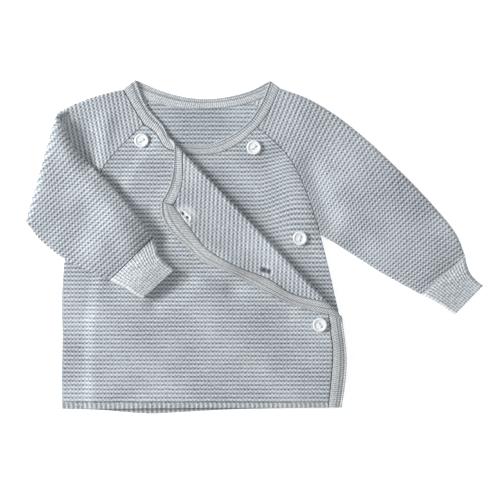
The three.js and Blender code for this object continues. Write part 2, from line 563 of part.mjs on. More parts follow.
const rightSleeve = flatTube(sleeveRows({
  raglanFront: curve(FRONT_RAGLAN_RIGHT, RAGLAN_CELLS.right), neckFront: curve(RIGHT_NECK_SLEEVE, 8).reverse(),
  raglanBack: curve(BACK_RAGLAN_RIGHT, RAGLAN_CELLS.right), neckBack: curve(BACK_NECK_SIDE_RIGHT, 6),
  lowers: sleeveEdge(RIGHT_SLEEVE.lower), uppers: sleeveEdge(RIGHT_SLEEVE.upper), heights: rightHeights,
  bowRows: RIGHT_ROWS.upperArm, side: 1,
  place: (p, z, height) => sleeveRoll.place(p, z, sleeveRoll.across(p) < sleeveRoll.arc ? SLEEVE_STACK : height,
    () => 0, sleeveFloor),
}), CLOTH);

// Cuffs narrow from the sleeve end to the wrist.
const LEFT_CUFF = {
  upper: [[227.2, 130.4], [228.2, 125], [231.5, 116], [238, 108.8], [242.5, 105.5]],
  lower: [[188.6, 97], [197, 93.2], [205, 88.7], [213, 83], [217.6, 80]],
};
const RIGHT_CUFF = {
  upper: [[-41.2, 147.2], [-39.5, 141], [-36.5, 131], [-29, 123.2], [-23.2, 118.7]],
  lower: [[-79, 110], [-71.5, 106], [-63.6, 102], [-56, 96.6], [-50.7, 94.4]],
};
const CUFF_HEIGHTS = [5.6, 5.4, 5.2, 5.0, 4.8];
const cuffMarks = spread([[0, 0], [1, 0]], 4).map((p) => p[0]);
const cuff = ({ upper, lower }, shift, floor) => flatTube(lower.map((p, j) => {
  const [from, to] = j ? [p, upper[j]] : [along(p, shift, GAP), along(upper[j], shift, GAP)];
  return { lower: from, upper: to, height: CUFF_HEIGHTS[j], frontMarks: cuffMarks, backMarks: cuffMarks,
    front: (v) => mix(from, to, v), back: (v) => mix(from, to, v), place: (q, z) => [...q, floor(q) + z] };
}), TRIM);
const leftCuff = cuff(LEFT_CUFF, unit([1, -1]), () => 0);
const rightCuff = cuff(RIGHT_CUFF, unit([1, -1]), (p) => sleeveFloor(p) + GAP);

// ---------- buttons ----------
function buttonGeometry() {
  const R = BUTTON_RADIUS, T = BUTTON_THICKNESS;
  const profile = [[0, 0], [R * 0.72, 0], [R * 0.95, T * 0.3], [R, T * 0.55], [R * 0.95, T * 0.88],
    [R * 0.84, T],
    [R * 0.7, T - BUTTON_DISH * 0.5], [R * 0.56, T - BUTTON_DISH], [0, T - BUTTON_DISH]];
  const body = new THREE.LatheGeometry(profile.map(([r, z]) => new THREE.Vector2(r, z)),
    20).rotateX(Math.PI / 2);
  const drill = (x) => solidOf(bare(new THREE.CylinderGeometry(HOLE_RADIUS, HOLE_RADIUS, 3 * T, 8)
    .rotateX(Math.PI / 2).translate(x, 0, 0)));
  return geometryOf([-1, 1].reduce((solid, s) =>
    solid.subtract(drill((s * HOLE_SPACING) / 2)), solidOf(bare(body))));
}
const underTop = () => LEVEL_FRONT + CLOTH;
const BUTTONS = {
  button_right_neck: { at: [-52, 230], turn: 30, top: overTop },
  button_left_upper: { at: [44.7, 224], turn: 40, top: underTop },
  button_left_middle: { at: [84.5, 146], turn: 75, top: underTop },
  button_fastened: { at: [101.5, 71.4], turn: -62, top: overTop },
};

// ---------- the cardigan ----------
const KNIT = 0xafb5b9, FACING = 0xa9b0b7, RIB = 0xc0c6ca, PEARL = 0xe6e7e8;
const cardigan = new THREE.Group();
function add(name, geometry, color, roughness = 0.95) {
  const mesh = new THREE.Mesh(geometry, new THREE.MeshStandardMaterial({ color, roughness, metalness: 0 }));
  mesh.name = name;
  cardigan.add(mesh);
  return mesh;
}
add("back_panel", backPanel, FACING);
add("back_hem", backHem, RIB);
add("back_neckband", backNeckband, RIB);
add("left_front", leftFront, KNIT);
add("left_front_hem", leftHem, RIB);
add("left_neckband", leftNeckband, RIB);
add("left_edge_band", leftEdgeBand, RIB);
add("right_front", rightFront, KNIT);
add("right_front_hem", rightHem, RIB);
add("right_neckband", rightNeckband, RIB);
add("right_edge_band", rightEdgeBand, RIB);
add("left_sleeve", leftSleeve, KNIT);
add("left_cuff", leftCuff, RIB);
add("right_sleeve", rightSleeve, KNIT);
add("right_cuff", rightCuff, RIB);

// Each button lies on its cloth, tilted with it, clear by one gap.
for (const [name, { at, turn, top }] of Object.entries(BUTTONS)) {
  const button = add(name, buttonGeometry(), PEARL, 0.25);
  const rise = (dx, dy) => top(along(at, [dx, dy], BUTTON_RADIUS)) - top(along(at, [dx, dy], -BUTTON_RADIUS));
  const normal = new THREE.Vector3(-rise(1, 0), -rise(0, 1), 2 * BUTTON_RADIUS).normalize();
  const seat = Math.max(top(at),
    (top(along(at, [1, 0], BUTTON_RADIUS)) + top(along(at, [-1, 0], BUTTON_RADIUS))) / 2);
  button.quaternion.setFromUnitVectors(new THREE.Vector3(0, 0, 1), normal)
    .multiply(new THREE.Quaternion().setFromAxisAngle(new THREE.Vector3(0, 0, 1), THREE.MathUtils.degToRad(turn)));
  button.position.set(at[0], at[1], seat).addScaledVector(normal, GAP);
}

// The part's origin is the middle of its footprint, on the surface it lies on.
const box = new THREE.Box3().setFromObject(cardigan);
const middle = box.getCenter(new THREE.Vector3());
cardigan.position.set(-middle.x, -middle.y, -box.min.z);

export default cardigan;
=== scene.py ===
# %% [markdown]
# # A knitted wrap-over baby cardigan
# The cardigan lies on its back on a table. The right front wraps over the left, its upper edge is turned
# back, and the right sleeve is folded across the body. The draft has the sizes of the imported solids, one
# solid says where it goes, and each piece becomes a fine sheet of knitting with its own stitch pattern.

import math

import bmesh
import bpy
import numpy as np
from mathutils import Matrix, Vector


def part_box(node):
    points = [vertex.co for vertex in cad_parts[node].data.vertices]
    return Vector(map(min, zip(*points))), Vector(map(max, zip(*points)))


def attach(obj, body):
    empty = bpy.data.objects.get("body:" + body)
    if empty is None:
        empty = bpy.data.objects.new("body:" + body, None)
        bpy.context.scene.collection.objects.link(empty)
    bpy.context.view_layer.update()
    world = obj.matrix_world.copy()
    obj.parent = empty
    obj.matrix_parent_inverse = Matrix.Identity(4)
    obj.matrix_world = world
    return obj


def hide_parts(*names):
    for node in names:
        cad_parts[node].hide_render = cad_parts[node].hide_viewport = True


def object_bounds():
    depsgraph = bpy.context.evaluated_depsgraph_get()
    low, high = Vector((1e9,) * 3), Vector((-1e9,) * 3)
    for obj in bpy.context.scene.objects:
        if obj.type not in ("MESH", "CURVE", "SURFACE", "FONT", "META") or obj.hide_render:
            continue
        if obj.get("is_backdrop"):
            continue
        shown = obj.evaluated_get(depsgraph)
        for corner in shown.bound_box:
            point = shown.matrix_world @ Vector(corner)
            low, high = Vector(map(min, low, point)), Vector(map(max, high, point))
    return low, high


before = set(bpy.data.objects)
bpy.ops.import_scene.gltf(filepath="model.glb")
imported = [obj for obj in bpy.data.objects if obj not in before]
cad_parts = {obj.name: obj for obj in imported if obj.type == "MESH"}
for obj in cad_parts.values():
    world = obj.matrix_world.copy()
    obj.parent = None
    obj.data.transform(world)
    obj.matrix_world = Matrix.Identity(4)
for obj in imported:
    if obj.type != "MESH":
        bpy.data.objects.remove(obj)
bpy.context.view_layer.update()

# %% [markdown]
# A garment is drafted flat, in millimetres, from the hem line up and from the centre line out. The draft
# is moved onto the frame by one solid whose place in the draft is known: the fastened button.

# %% Draft units and the main sizes
MM = 0.001
CLOTH, TRIM, GAP = 2.4, 2.0, 0.3  # thickness of the knit and of its trims, and the air between layers
HEM_Y = 5.0  # height of the seam above the hem edging
SIDE_X = 121  # side seams at the hem, out from the centre line
UNDER_EDGE_X, OVER_EDGE_X = -79.5, 109  # edge seams of the two fronts at the hem
FRONT_LEVEL = CLOTH + GAP  # underside of a front that lies on the back
STEP = CLOTH + GAP  # how much higher a piece lies for one more layer below it
SLEEVE_STACK = 2 * CLOTH + 2 * GAP  # two layers and their air: a folded sleeve, or what it lies on
FASTENED = (101.5, 71.4)  # the fastened button's place in the draft
button_low, button_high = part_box("button_fastened")
middle = (button_low + button_high) / 2
DRAFT_SHIFT = np.array([middle.x / MM - FASTENED[0], middle.y / MM - FASTENED[1]])
print("draft shift", DRAFT_SHIFT.round(2))

# %% [markdown]
# Every outline is a smooth line through a few named points. A line is measured by the share of its length,
# so two sides of a panel can be matched up however their points are spaced.


# %% Lines and patches
def curve(points, steps=14):
    p = np.array(points, float)
    p = np.vstack([2 * p[0] - p[1], p, 2 * p[-1] - p[-2]])
    parts = []
    for a, b, c, d in zip(p, p[1:], p[2:], p[3:]):
        r, s, t = (max(np.hypot(*(k - h)), 1e-6) ** 0.5 for h, k in ((a, b), (b, c), (c, d)))
        leave = ((b - a) / r - (c - a) / (r + s) + (c - b) / s) * s
        arrive = ((c - b) / s - (d - b) / (s + t) + (d - c) / t) * s
        f = np.linspace(0, 1, steps, endpoint=False)[:, None]
        parts.append((2 * f**3 - 3 * f**2 + 1) * b + (f**3 - 2 * f**2 + f) * leave
            + (3 * f**2 - 2 * f**3) * c + (f**3 - f**2) * arrive)
    return np.vstack([*parts, p[-2]])


def joined(*lines):
    return np.vstack([lines[0], *[line[1:] for line in lines[1:]]])


def lengths(line):
    steps = np.hypot(*np.diff(line, axis=0).T)
    return np.concatenate([[0], np.cumsum(steps)])


def side(line):
    """A function that gives the point at each share of a line's length."""
    at = lengths(line)
    share = at / max(at[-1], 1e-9)
    return lambda s: np.stack([np.interp(s, share, line[:, 0]), np.interp(s, share, line[:, 1])], -1)


def patch(bottom, top, left, right):
    """A smooth sheet inside four sides, as a function of the shares across and up."""
    corners = [f(np.array([v]))[0] for f in (bottom, top) for v in (0.0, 1.0)]

    def place(u, v):
        U, V = u[:, None], v[:, None]
        low, high = ((1 - U) * corners[k] + U * corners[k + 1] for k in (0, 2))
        even = (1 - V) * low + V * high
        return (1 - V) * bottom(u) + V * top(u) + (1 - U) * left(v) + U * right(v) - even

    return place


def ease(low, high, v):
    f = np.clip((v - low) / (high - low), 0, 1)
    return f * f * (3 - 2 * f)


# %% [markdown]
# Where cloth turns back over itself it rolls round a soft crease: half a turn of a small radius, then it
# lies face down and settles onto what is below. The roll takes flat cloth and says where it lies, and it
# can also spread a laid point flat again, which is how the outline of the turned-back part is drafted.


# %% The roll
def unit(v):
    return v / np.hypot(*v)


def left_of(way):
    return np.array([-way[1], way[0]])


class Roll:
    def __init__(self, start, end, outwards, radius, stack, settle):
        start, end = np.array(start), np.array(end)
        self.along = unit(end - start)
        self.out = left_of(self.along) * outwards
        self.radius, self.stack, self.settle = radius, stack, settle
        self.arc = math.pi * (radius + stack / 2)
        self.origin = start - self.out * (radius + stack)

    def across(self, p):
        return (p - self.origin) @ self.out

    def down(self, p):
        return (p - self.origin) @ self.along

    def unfold(self, points):
        p = np.array(points, float)
        return p + (self.arc - 2 * self.across(p))[:, None] * self.out

    def place(self, p, height, stack, underside, floor):
        s = self.across(p)
        foot = p - self.out * s[:, None]
        angle = np.clip(s / self.arc, 0, 1) * math.pi
        reach = self.radius + self.stack - height
        axis = underside(foot) + self.stack + self.radius
        rolled = np.column_stack([foot + self.out * (reach * np.sin(angle))[:, None],
            axis - reach * np.cos(angle)])
        laid = foot + self.out * (self.arc - s)[:, None]
        rest = (2 * self.radius - GAP) * (1 - ease(0, self.settle, s - self.arc))
        turned = np.column_stack([laid, floor(laid) + GAP + rest + stack - height])
        flat = np.column_stack([p, underside(p) + height])
        s = s[:, None]
        return np.where(s <= 0, flat, np.where(s < self.arc, rolled, turned))


flap_roll = Roll([-25.8, 230.5], [116.1, 82.6], 1, 1.0, CLOTH, 16)
sleeve_roll = Roll([-124.7, 256.3], [-150.5, 166], -1, 1.0, SLEEVE_STACK, 22)
print("turn of the flap", round(flap_roll.arc, 2), "mm, of the sleeve", round(sleeve_roll.arc, 2), "mm")

# %% [markdown]
# The draft itself: side seams, slanting raglan seams, necks and front edges. The over front's neck and
# front edge are given where they lie, and the turned-back part is spread flat by the roll.

# %% The draft
left_underarm, right_underarm = [102.3, 149], [-112, 148]
left_front_top, right_front_top = [48, 241.5], [-50, 244]  # where the fronts' slanting seams end
left_back_top, right_back_top = [44, 263.2], [-45, 264.4]  # where the back's end
left_shoulder, right_shoulder = [67.3, 275.5], [-68, 274.5]  # sleeve folds at the neck
left_collar, right_collar = [58.5, 282], [-57.3, 282.5]  # ends of the back neckband's free edge

side_left = curve([[SIDE_X, HEM_Y], [122.5, 22], [122, 48], [119.5, 74], [114.5, 98], [108.5, 124],
    left_underarm])
side_right = curve([[-SIDE_X, HEM_Y], [-121, 30], [-120.5, 60], [-121, 90], [-120, 112], [-118, 130],
    right_underarm])
front_raglan_left = curve([left_underarm, [92, 181], [80, 208], [67, 225.5], left_front_top])
front_raglan_right = curve([right_underarm, [-98, 179], [-86, 205], [-69, 226], right_front_top])
back_raglan_left = curve([left_underarm, [94, 182], [80, 214], [62, 243], left_back_top])
back_raglan_right = curve([right_underarm, [-98, 184], [-82, 216], [-64, 244], right_back_top])
back_neck_middle = curve([left_back_top, [30, 259.8], [6, 257.5], [-20, 258.2], right_back_top])
back_neck_left = curve([left_shoulder, [57, 269], left_back_top])
back_neck_right = curve([right_back_top, [-56, 268.6], right_shoulder])
back_neck_free = curve([left_collar, [42, 273.5], [23, 268.3], [3, 266.3], [-17, 268.3], [-36, 273.6],
    right_collar])
left_neck_sleeve = curve([left_shoulder, [57.6, 254.5], left_front_top])
left_neck_front = curve([left_front_top, [32, 227.6], [19, 220.6], [3, 217.8], [-12, 218.4],
    [-25, 220.5]])
left_neck_free = curve([left_collar, [52, 265], [41.5, 248], [30.5, 238.5], [15, 230], [3, 226.6],
    [-15, 227], [-34, 229]])
left_edge_free = curve([[-34, 229], [-57, 198], [-70, 165], [-79, 134], [-86, 100], [-90, 67],
    [-91, 30], [-91, 0]])
left_edge_seam = curve([[-25, 220.5], [-46.5, 192], [-58.5, 161.5], [-67.5, 131], [-74.5, 98],
    [-78.5, 66], [UNDER_EDGE_X, 30], [UNDER_EDGE_X, 0]])
right_neck_sleeve = curve([right_shoulder, [-59.5, 259], right_front_top])
right_neck_front = curve([right_front_top, [-40, 236.5], [-30.5, 223.2],
    *flap_roll.unfold([[-16.3, 212.4], [-17, 191], [-24, 174]])])
right_neck_free = curve([right_collar, [-48, 260], [-34, 243.5], [-25.8, 230.8],
    *flap_roll.unfold([[-24.5, 208], [-28.4, 190], [-35.3, 177.2]])])
turned_seam = flap_roll.unfold([[-24, 174], [-9.5, 154], [4.5, 137], [31, 121.5], [57.5, 111], [80, 97.5]])
right_edge_seam = curve([*turned_seam, [110.8, 65], [112.7, 50], [111, 22], [108.5, 0]])
turned_edge = flap_roll.unfold([[-35.3, 177.2], [-34.4, 164], [-26.7, 151.5], [-12.9, 138.5], [-1.7, 127.3],
    [25, 116], [55, 99.5], [77.5, 88.6], [100.6, 82.6]])
right_edge_free = curve([*turned_edge, [122.1, 67], [124.7, 40], [122.6, 15], [120, 0]])
print("over front's edge is", round(lengths(right_edge_free)[-1]), "mm long")

# %% [markdown]
# Layers stack up: where the over front leaves the under front's hidden edge it slopes down onto the back.
# The height of each layer is a function of the place on the plan, so every piece on top follows it.

# %% Heights of the layers
hidden_edge = joined(left_neck_free, left_edge_free)


def outside_under_front(p):
    """Distance of plan points outside the under front, negative inside it."""
    corners = hidden_edge[::2]
    best, sign = np.full(len(p), 1e9), np.ones(len(p))
    for start, end in zip(corners, corners[1:]):
        rel, d = p - start, end - start
        f = np.clip(rel @ d / (d @ d), 0, 1)
        away = np.hypot(*(rel - f[:, None] * d).T)
        nearer = away < best
        best = np.where(nearer, away, best)
        sign = np.where(nearer, np.where(d[0] * rel[:, 1] - d[1] * rel[:, 0] > 0, -1, 1), sign)
    return best * sign


def over_underside(p):
    return FRONT_LEVEL + STEP * (1 - ease(1.5, 12.5, outside_under_front(p)))


def over_top(p):
    return over_underside(p) + CLOTH


def sleeve_floor(p):
    return SLEEVE_STACK + STEP * (1 - ease(5, 29, outside_under_front(p)))


print("over front rises to", round(float(over_top(np.array([[0.0, 100.0]]))[0]), 2), "mm")

# %% [markdown]
# Garter stitch shows rows of small arches: each purl loop stands up as a bump, and between two bumps is a
# dark pit. One formula in millimetres of cloth gives that relief. The mesh uses it for real bumps and the
# shader uses it again to paint the pits darker than the bumps, as painted shade, so colour and relief agree
# wherever the cloth turns.

# %% Relief of the stitches
RIDGE, STITCH, ARCH = 3.6, 3.1, 0.13  # rows apart, stitches apart, and how far an arch swings
DEPTH = 0.62  # how deep the pits are
TURN = 2 * math.pi


def garter(t, s):
    wave = np.cos(TURN * t / STITCH)
    row = np.cos(TURN * (s / RIDGE + ARCH * wave))
    return 0.5 + row * (0.27 + 0.23 * wave)


def stitches(t, s):
    """Relief: out at the bumps, and in at the pits."""
    return (garter(t, s) - 1) * DEPTH + 0.15


RIM = np.radians([65, 35, 0, -35, -65])  # angles round the edge of a sheet
BLUNT = 0.24  # how far its rounding reaches in from the edge, as a share of the thickness


def ends(count, length, thickness):
    """Shares along a sheet with a rounded edge at both ends, and how thick it is there."""
    turn = np.radians([20, 45, 70])
    first = BLUNT * thickness / length
    return (np.concatenate([first * (1 - np.sin(turn)), np.linspace(first, 1 - first, count),
        1 - first * (1 - np.sin(turn[::-1]))]),
        np.concatenate([np.sin(turn) * 0.9 + 0.1, np.ones(count), np.sin(turn[::-1]) * 0.9 + 0.1]))


def around(top, low, width, thickness):
    """Shares across and heights from -1 to 1, once round a sheet: over the top, round an edge, below, and
    round the other edge. top and low hold a row of shares for each row of the sheet."""
    edge = (BLUNT * thickness / width)[:, None]
    lean = edge * (1 - np.cos(RIM))
    ones = np.ones_like(edge)
    share = np.hstack([edge + top * (1 - 2 * edge), 1 - lean, edge + low[:, ::-1] * (1 - 2 * edge), lean])
    height = np.hstack([np.ones_like(top), ones * np.sin(RIM), -np.ones_like(low), -ones * np.sin(RIM)])
    return np.hstack([share, share[:, :1]]), np.hstack([height, height[:, :1]])


def mesh_of(name, bm):
    mesh = bpy.data.meshes.new(name)
    bm.to_mesh(mesh)
    bm.free()
    return mesh


def stand(name, data):
    made = bpy.data.objects.new(name, data)
    bpy.context.scene.collection.objects.link(made)
    return made


def knit_mesh(name, points, cloth):
    """One grid of squares laid through a table of points, with the cloth's own millimetres as its UV map."""
    rows, columns = points.shape[:2]
    bm = bmesh.new()
    bmesh.ops.create_grid(bm, x_segments=columns - 1, y_segments=rows - 1, size=0.5)
    mesh = mesh_of(name, bm)
    at = np.zeros(len(mesh.vertices) * 3)
    mesh.vertices.foreach_get("co", at)
    across, up, _ = at.reshape(-1, 3).T + 0.5
    i = np.rint(across * (columns - 1)).astype(int)
    j = np.rint(up * (rows - 1)).astype(int)
    mesh.vertices.foreach_set("co", (points[j, i] * MM).ravel())
    corner = np.zeros(len(mesh.loops), int)
    mesh.loops.foreach_get("vertex_index", corner)
    uv = mesh.uv_layers.new(name="cloth")
    uv.data.foreach_set("uv", (cloth[j, i] * MM)[corner].ravel())
    bm = bmesh.new()
    bm.from_mesh(mesh)
    bmesh.ops.remove_doubles(bm, verts=bm.verts, dist=2e-6)
    bmesh.ops.holes_fill(bm, edges=[e for e in bm.edges if e.is_boundary], sides=0)
    bmesh.ops.recalc_face_normals(bm, faces=bm.faces)
    bm.to_mesh(mesh)
    bm.free()
    mesh.shade_smooth()
    print(name, "faces", len(mesh.polygons))
    return stand(name, mesh)


# %% [markdown]
# Worn cloth never lies quite flat. Soft hollows and ridges are listed and act on every layer at
# once, more on the upper ones, so no layer is pushed through the next and the underside stays flat. Puffs
# lift only what lies on top of the fronts: the folded sleeve and the turned-back part of the over front.

# %% Creases and hollows
CREASES = [  # start and end on the plan, how wide, and how far up or down the top layer moves
    ((-102, 244), (-96, 214), 14, -7.0),  # hollow of the folded sleeve, inside its crease
    ((-82, 246), (-87, 208), 7, 4.6),
    ((-132, 246), (-60, 148), 11, 4.6),  # the forearm's upper edge stands up
    ((-140, 190), (-120, 150), 13, 1.6),
    ((-60, 165), (-96, 140), 14, 1.4),
    ((-100, 172), (-70, 128), 9, -1.2),
    ((-42, 146), (-78, 111), 5, -1.4),  # gathered into the cuff
    ((-36, 128), (-60, 104), 7, 1.2),
    ((-40, 90), (-12, 110), 8, -3.4),
    ((92, 250), (180, 178), 20, 3.0),  # the crown of the left sleeve
    ((128, 158), (196, 112), 16, 2.2),
    ((93, 208), (110, 158), 9, -4.2),  # hollow above the underarm
    ((122, 168), (148, 146), 10, 1.6),
    ((226, 131), (188, 98), 6, -1.6),
    ((232, 116), (206, 92), 8, 1.0),
    ((-14, 222), (104, 96), 7, 2.4),  # the turned-back edge is full
    ((4, 224), (122, 100), 8, -1.6),
    ((70, 222), (58, 208), 8, -1.8),  # dimples below the buttons
    ((92, 136), (98, 128), 7, -1.2),
    ((72, 208), (92, 168), 10, 1.6),
    ((-30, 60), (-90, 30), 20, 1.0),
    ((60, 60), (20, 80), 16, 0.9),
    ((-115, 70), (-80, 104), 12, -1.2),
    ((20, 22), (74, 40), 14, -1.0),
    ((-60, 12), (-20, 24), 12, -0.8),
    ((-44, 168), (-34, 146), 7, -2.4),  # a furrow along the turned-back edge
    ((-34, 144), (26, 102), 9, -3.4),
    ((26, 104), (74, 84), 7, -2.2),
]
PUFFS = [  # the same for what lies on top of the fronts only
    ((-78, 140), (-46, 114), 18, 3.2),
    ((-112, 200), (-84, 150), 22, 2.0),
    ((-30, 172), (24, 118), 12, 3.4),
    ((24, 118), (62, 104), 11, 2.6),
]


def bell(value, centre, width):
    return np.exp(-(((value - centre) / width) ** 2))


def crease_height(p, creases):
    move = np.zeros(p.shape[:-1])
    for start, end, wide, rise in creases:
        a, d = np.array(start), np.subtract(end, start)
        f = np.clip(((p - a) @ d) / (d @ d), 0, 1)
        away = np.linalg.norm(p - a - f[..., None] * d, axis=-1)
        move = move + rise * bell(away, 0, wide)
    return move


def settle(points, on_top=None):
    """on_top is 1 for what lies on the fronts and 0 for the rest; without it, the height tells."""
    out = points.copy()
    p, z = out[..., :2], out[..., 2]
    on_top = np.clip((z - 8.1) / 0.4, 0, 1) if on_top is None else on_top
    out[..., 2] = z + np.minimum(z / 8, 1.2) * crease_height(p, CREASES) + on_top * crease_height(p, PUFFS)
    out[..., :2] = p + DRAFT_SHIFT
    return out


print(len(CREASES), "creases and", len(PUFFS), "puffs")

# %% [markdown]
# A panel is a patch of cloth with a top, a rounded edge and an underside. Its rows follow the knitting, so
# each ridge is smooth along its length. Only the side that shows is made fine.

# %% Panels
def panel_mesh(name, surface, rows, top, low, width, place, shows, extra=None, rise=None, turned=None):
    """top and low give the shares across each row, and shows is true where the stitches can be seen. extra
    adds relief, rise is how far the knitted rows are pulled up, and turned says what is turned back."""
    v, thick = rows
    share, height = around(top, low, width, CLOTH)
    v2 = np.repeat(v[:, None], share.shape[1], 1)
    flat = surface(share.ravel(), v2.ravel())
    n = height.ravel() * np.repeat(thick, share.shape[1])
    cloth = flat - np.column_stack([0 * n, rise(flat)]) if rise else flat
    d = np.where(shows(flat, n), stitches(cloth[:, 0], cloth[:, 1]), -0.1)
    if extra is not None:
        d = d + extra(flat, n)
    points = place(flat, CLOTH / 2 + n * (CLOTH / 2 + d)).reshape(*share.shape, 3)
    on_top = turned(flat).reshape(share.shape) if turned else 0
    return knit_mesh(name, settle(points, on_top), cloth.reshape(*share.shape, 2))


def evenly(count, rows):
    return np.repeat(np.linspace(0, 1, count)[None], rows, 0)


def level(z):
    return lambda p, height: np.column_stack([p, z + height])


def clear_of(line, gap):
    """A seam line moved sideways by the gap, to its left for a positive one."""
    d = np.gradient(line, axis=0)
    normal = np.column_stack([-d[:, 1], d[:, 0]]) / np.hypot(*d.T)[:, None]
    return line + normal * gap


def span(a, b, v):
    return np.hypot(*(b(v) - a(v)).T)


def hem_seam(start, end):
    return np.array([[start, HEM_Y], [end, HEM_Y]], float)


def face_up(p, n):
    return n > 0.3


def pulled_up(p):
    """The under front's rows rise beside its slanting seam."""
    return 9 * ease(48, 82, p[:, 0]) * bell(p[:, 1], 188, 42)


neck_front_left_up = clear_of(left_neck_front, -GAP / 2)[::-1]
left_outer = side(clear_of(joined(side_left, front_raglan_left), GAP / 2))
seam_level = left_edge_seam[left_edge_seam[:, 1] > HEM_Y + 0.5]
left_inner = side(clear_of(np.vstack([seam_level, [[UNDER_EDGE_X, HEM_Y]]])[::-1], -GAP / 2))
left_surface = patch(side(hem_seam(UNDER_EDGE_X, SIDE_X) + [0, GAP / 2]), side(neck_front_left_up),
    left_inner, left_outer)
v_rows = ends(270, 240, CLOTH)
n_rows = len(v_rows[0])
left_front = panel_mesh("left_front_knit", left_surface, v_rows, evenly(200, n_rows), evenly(24, n_rows),
    span(left_inner, left_outer, v_rows[0]), level(FRONT_LEVEL), face_up,
    rise=pulled_up)

back_left = side(clear_of(joined(side_right, back_raglan_right), -GAP / 2))
back_right = side(clear_of(joined(side_left, back_raglan_left), GAP / 2))
back_hem_seam = curve([[-SIDE_X, HEM_Y], [-62, 2], [-44, 1], [0, 3], [60, 4.5], [SIDE_X, HEM_Y]])
back_surface = patch(side(back_hem_seam + [0, GAP / 2]), side((back_neck_middle - [0, GAP / 2])[::-1]),
    back_left, back_right)
v_rows = ends(150, 258, CLOTH)
n_rows = len(v_rows[0])
back_panel = panel_mesh("back_panel_knit", back_surface, v_rows, evenly(120, n_rows), evenly(120, n_rows),
    span(back_left, back_right, v_rows[0]), level(0.0), face_up)

# %% [markdown]
# The over front is cut as one flat piece and then turned back along the crease. Its rows have a knot at the
# crease: the face is fine up to it, and the underside, which comes up on top, is fine beyond it.

# %% The over front
right_side = side(clear_of(joined(side_right, front_raglan_right), -GAP / 2))
edge_level = right_edge_seam[right_edge_seam[:, 1] > HEM_Y + 0.5]
right_side_edge = side(clear_of(np.vstack([edge_level, [[OVER_EDGE_X, HEM_Y]]])[::-1], GAP / 2))
right_neck_top = side(clear_of(right_neck_front, -GAP / 2))
over_surface = patch(side(hem_seam(-SIDE_X, OVER_EDGE_X) + [0, GAP / 2]), right_neck_top, right_side,
    right_side_edge)
BUTTONHOLES = [  # place, angle, whether it is in the turned-back part, how far it gapes, and its worked edge
    ((-14.3, 165.5), -40, 1, 0.8, 1.3),
    ((55.7, 118.1), -16, 1, 1.7, 0.5),
    (FASTENED, 0, 0, 0.8, 0.6),
]
SLIT, CUT = 3.6, 1.9  # half the length of a buttonhole, and how deep it goes


def knot(v, limit):
    """The share of each row at which it passes a line beside the crease."""
    u = np.linspace(0, 1, 240)
    grid = over_surface(np.tile(u, len(v)), np.repeat(v, len(u)))
    passed = (flap_roll.across(grid) > limit).reshape(len(v), -1)
    first = np.where(passed.any(1), passed.argmax(1), len(u) - 1)
    return u[first]


def turned_back(p):
    """0 where the over front lies, 1 where it is turned back, and between the two round the roll."""
    return ease(0, flap_roll.arc, flap_roll.across(p))


def over_place(p, height):
    return flap_roll.place(p, height, CLOTH, over_underside, over_top)


def heading(degrees):
    return np.array([math.cos(math.radians(degrees)), math.sin(math.radians(degrees))])


def holes(flat, n):
    """Slits for the buttons, with a worked edge that stands up round them."""
    laid = over_place(flat, np.zeros(len(flat)))[:, :2]
    turned = flap_roll.across(flat) > flap_roll.arc / 2
    d = np.zeros(len(flat))
    for at, angle, on_flap, gape, worked in BUTTONHOLES:
        way, rel = heading(angle), laid - np.array(at)
        a, b = rel @ way, rel @ left_of(way)
        r = np.hypot(np.maximum(np.abs(a) - SLIT, 0), b)
        seen = (turned == bool(on_flap)) & ((n < 0) == bool(on_flap))
        lip = worked * bell(r - gape, 1.7, 1.2) * (0.75 + 0.25 * np.cos(a * 4.2 + 2 * np.sign(b)))
        d = d + np.where(seen, lip - CUT * (1 - ease(gape - 0.4, gape + 0.6, r)), 0)
    return d


v_rows = ends(262, 250, CLOTH)
n_rows = len(v_rows[0])
top_knot, low_knot = knot(v_rows[0], flap_roll.arc), knot(v_rows[0], -1.5)
top = np.hstack([evenly(188, n_rows) * top_knot[:, None],
    top_knot[:, None] + evenly(8, n_rows)[:, 1:] * (1 - top_knot[:, None])])
low = np.hstack([evenly(14, n_rows)[:, :-1] * low_knot[:, None],
    low_knot[:, None] + evenly(104, n_rows) * (1 - low_knot[:, None])])
right_front = panel_mesh(
    "right_front_knit", over_surface, v_rows, top, low, span(right_side, right_side_edge, v_rows[0]),
    over_place, lambda p, n: np.where(flap_roll.across(p) > 0, n < 0.3, n > -0.3), holes, turned=turned_back)

# %% [markdown]
# Bands, hems and cuffs are ribbed. A band is a strip between its seam and its free edge, with fine ribs
# across it and a rolled lip; the hem is a row of loops.

# %% Bands and hems
EDGE_RIB, LOOP = 1.9, 4.0  # ribs apart, and loops apart
ROW_STEP = 0.5  # rows of a band's mesh apart


def grooves(t, pitch):
    """0 on a rib and 1 between two."""
    return 0.5 - 0.5 * np.cos(TURN * t / pitch)


def fullness(share):
    return np.sin(np.pi * np.clip(share / 0.8, 0, 1))


def ribbed(t, share):
    """Fine ribs across a band, a groove at its seam and a rolled lip at its free edge."""
    ribs = -0.4 * grooves(t, EDGE_RIB) * (share < 0.84)
    return (ribs + 0.45 * bell(share, 0.92, 0.07) - 0.9 * bell(share, 0.82, 0.05)
        + 0.4 * fullness(share) - 0.5 * bell(share, 0, 0.07))


def piped(t, share):
    """The same with a piped line along the free edge."""
    ribs = -0.35 * grooves(t, EDGE_RIB) * (share < 0.8)
    lines = 0.6 * bell(share, 0.94, 0.06) - 1.1 * bell(share, 0.83, 0.045) - 0.4 * bell(share, 0, 0.08)
    return ribs + lines + 0.6 * fullness(share)


def looped(t, share):
    """A row of loops: each stands up in the middle and dips where it meets the next."""
    loop = np.abs(np.cos(np.pi * t / LOOP))
    return -0.75 * loop**3 * ease(0.1, 0.5, share) - 0.35 * bell(share, 0.12, 0.08)


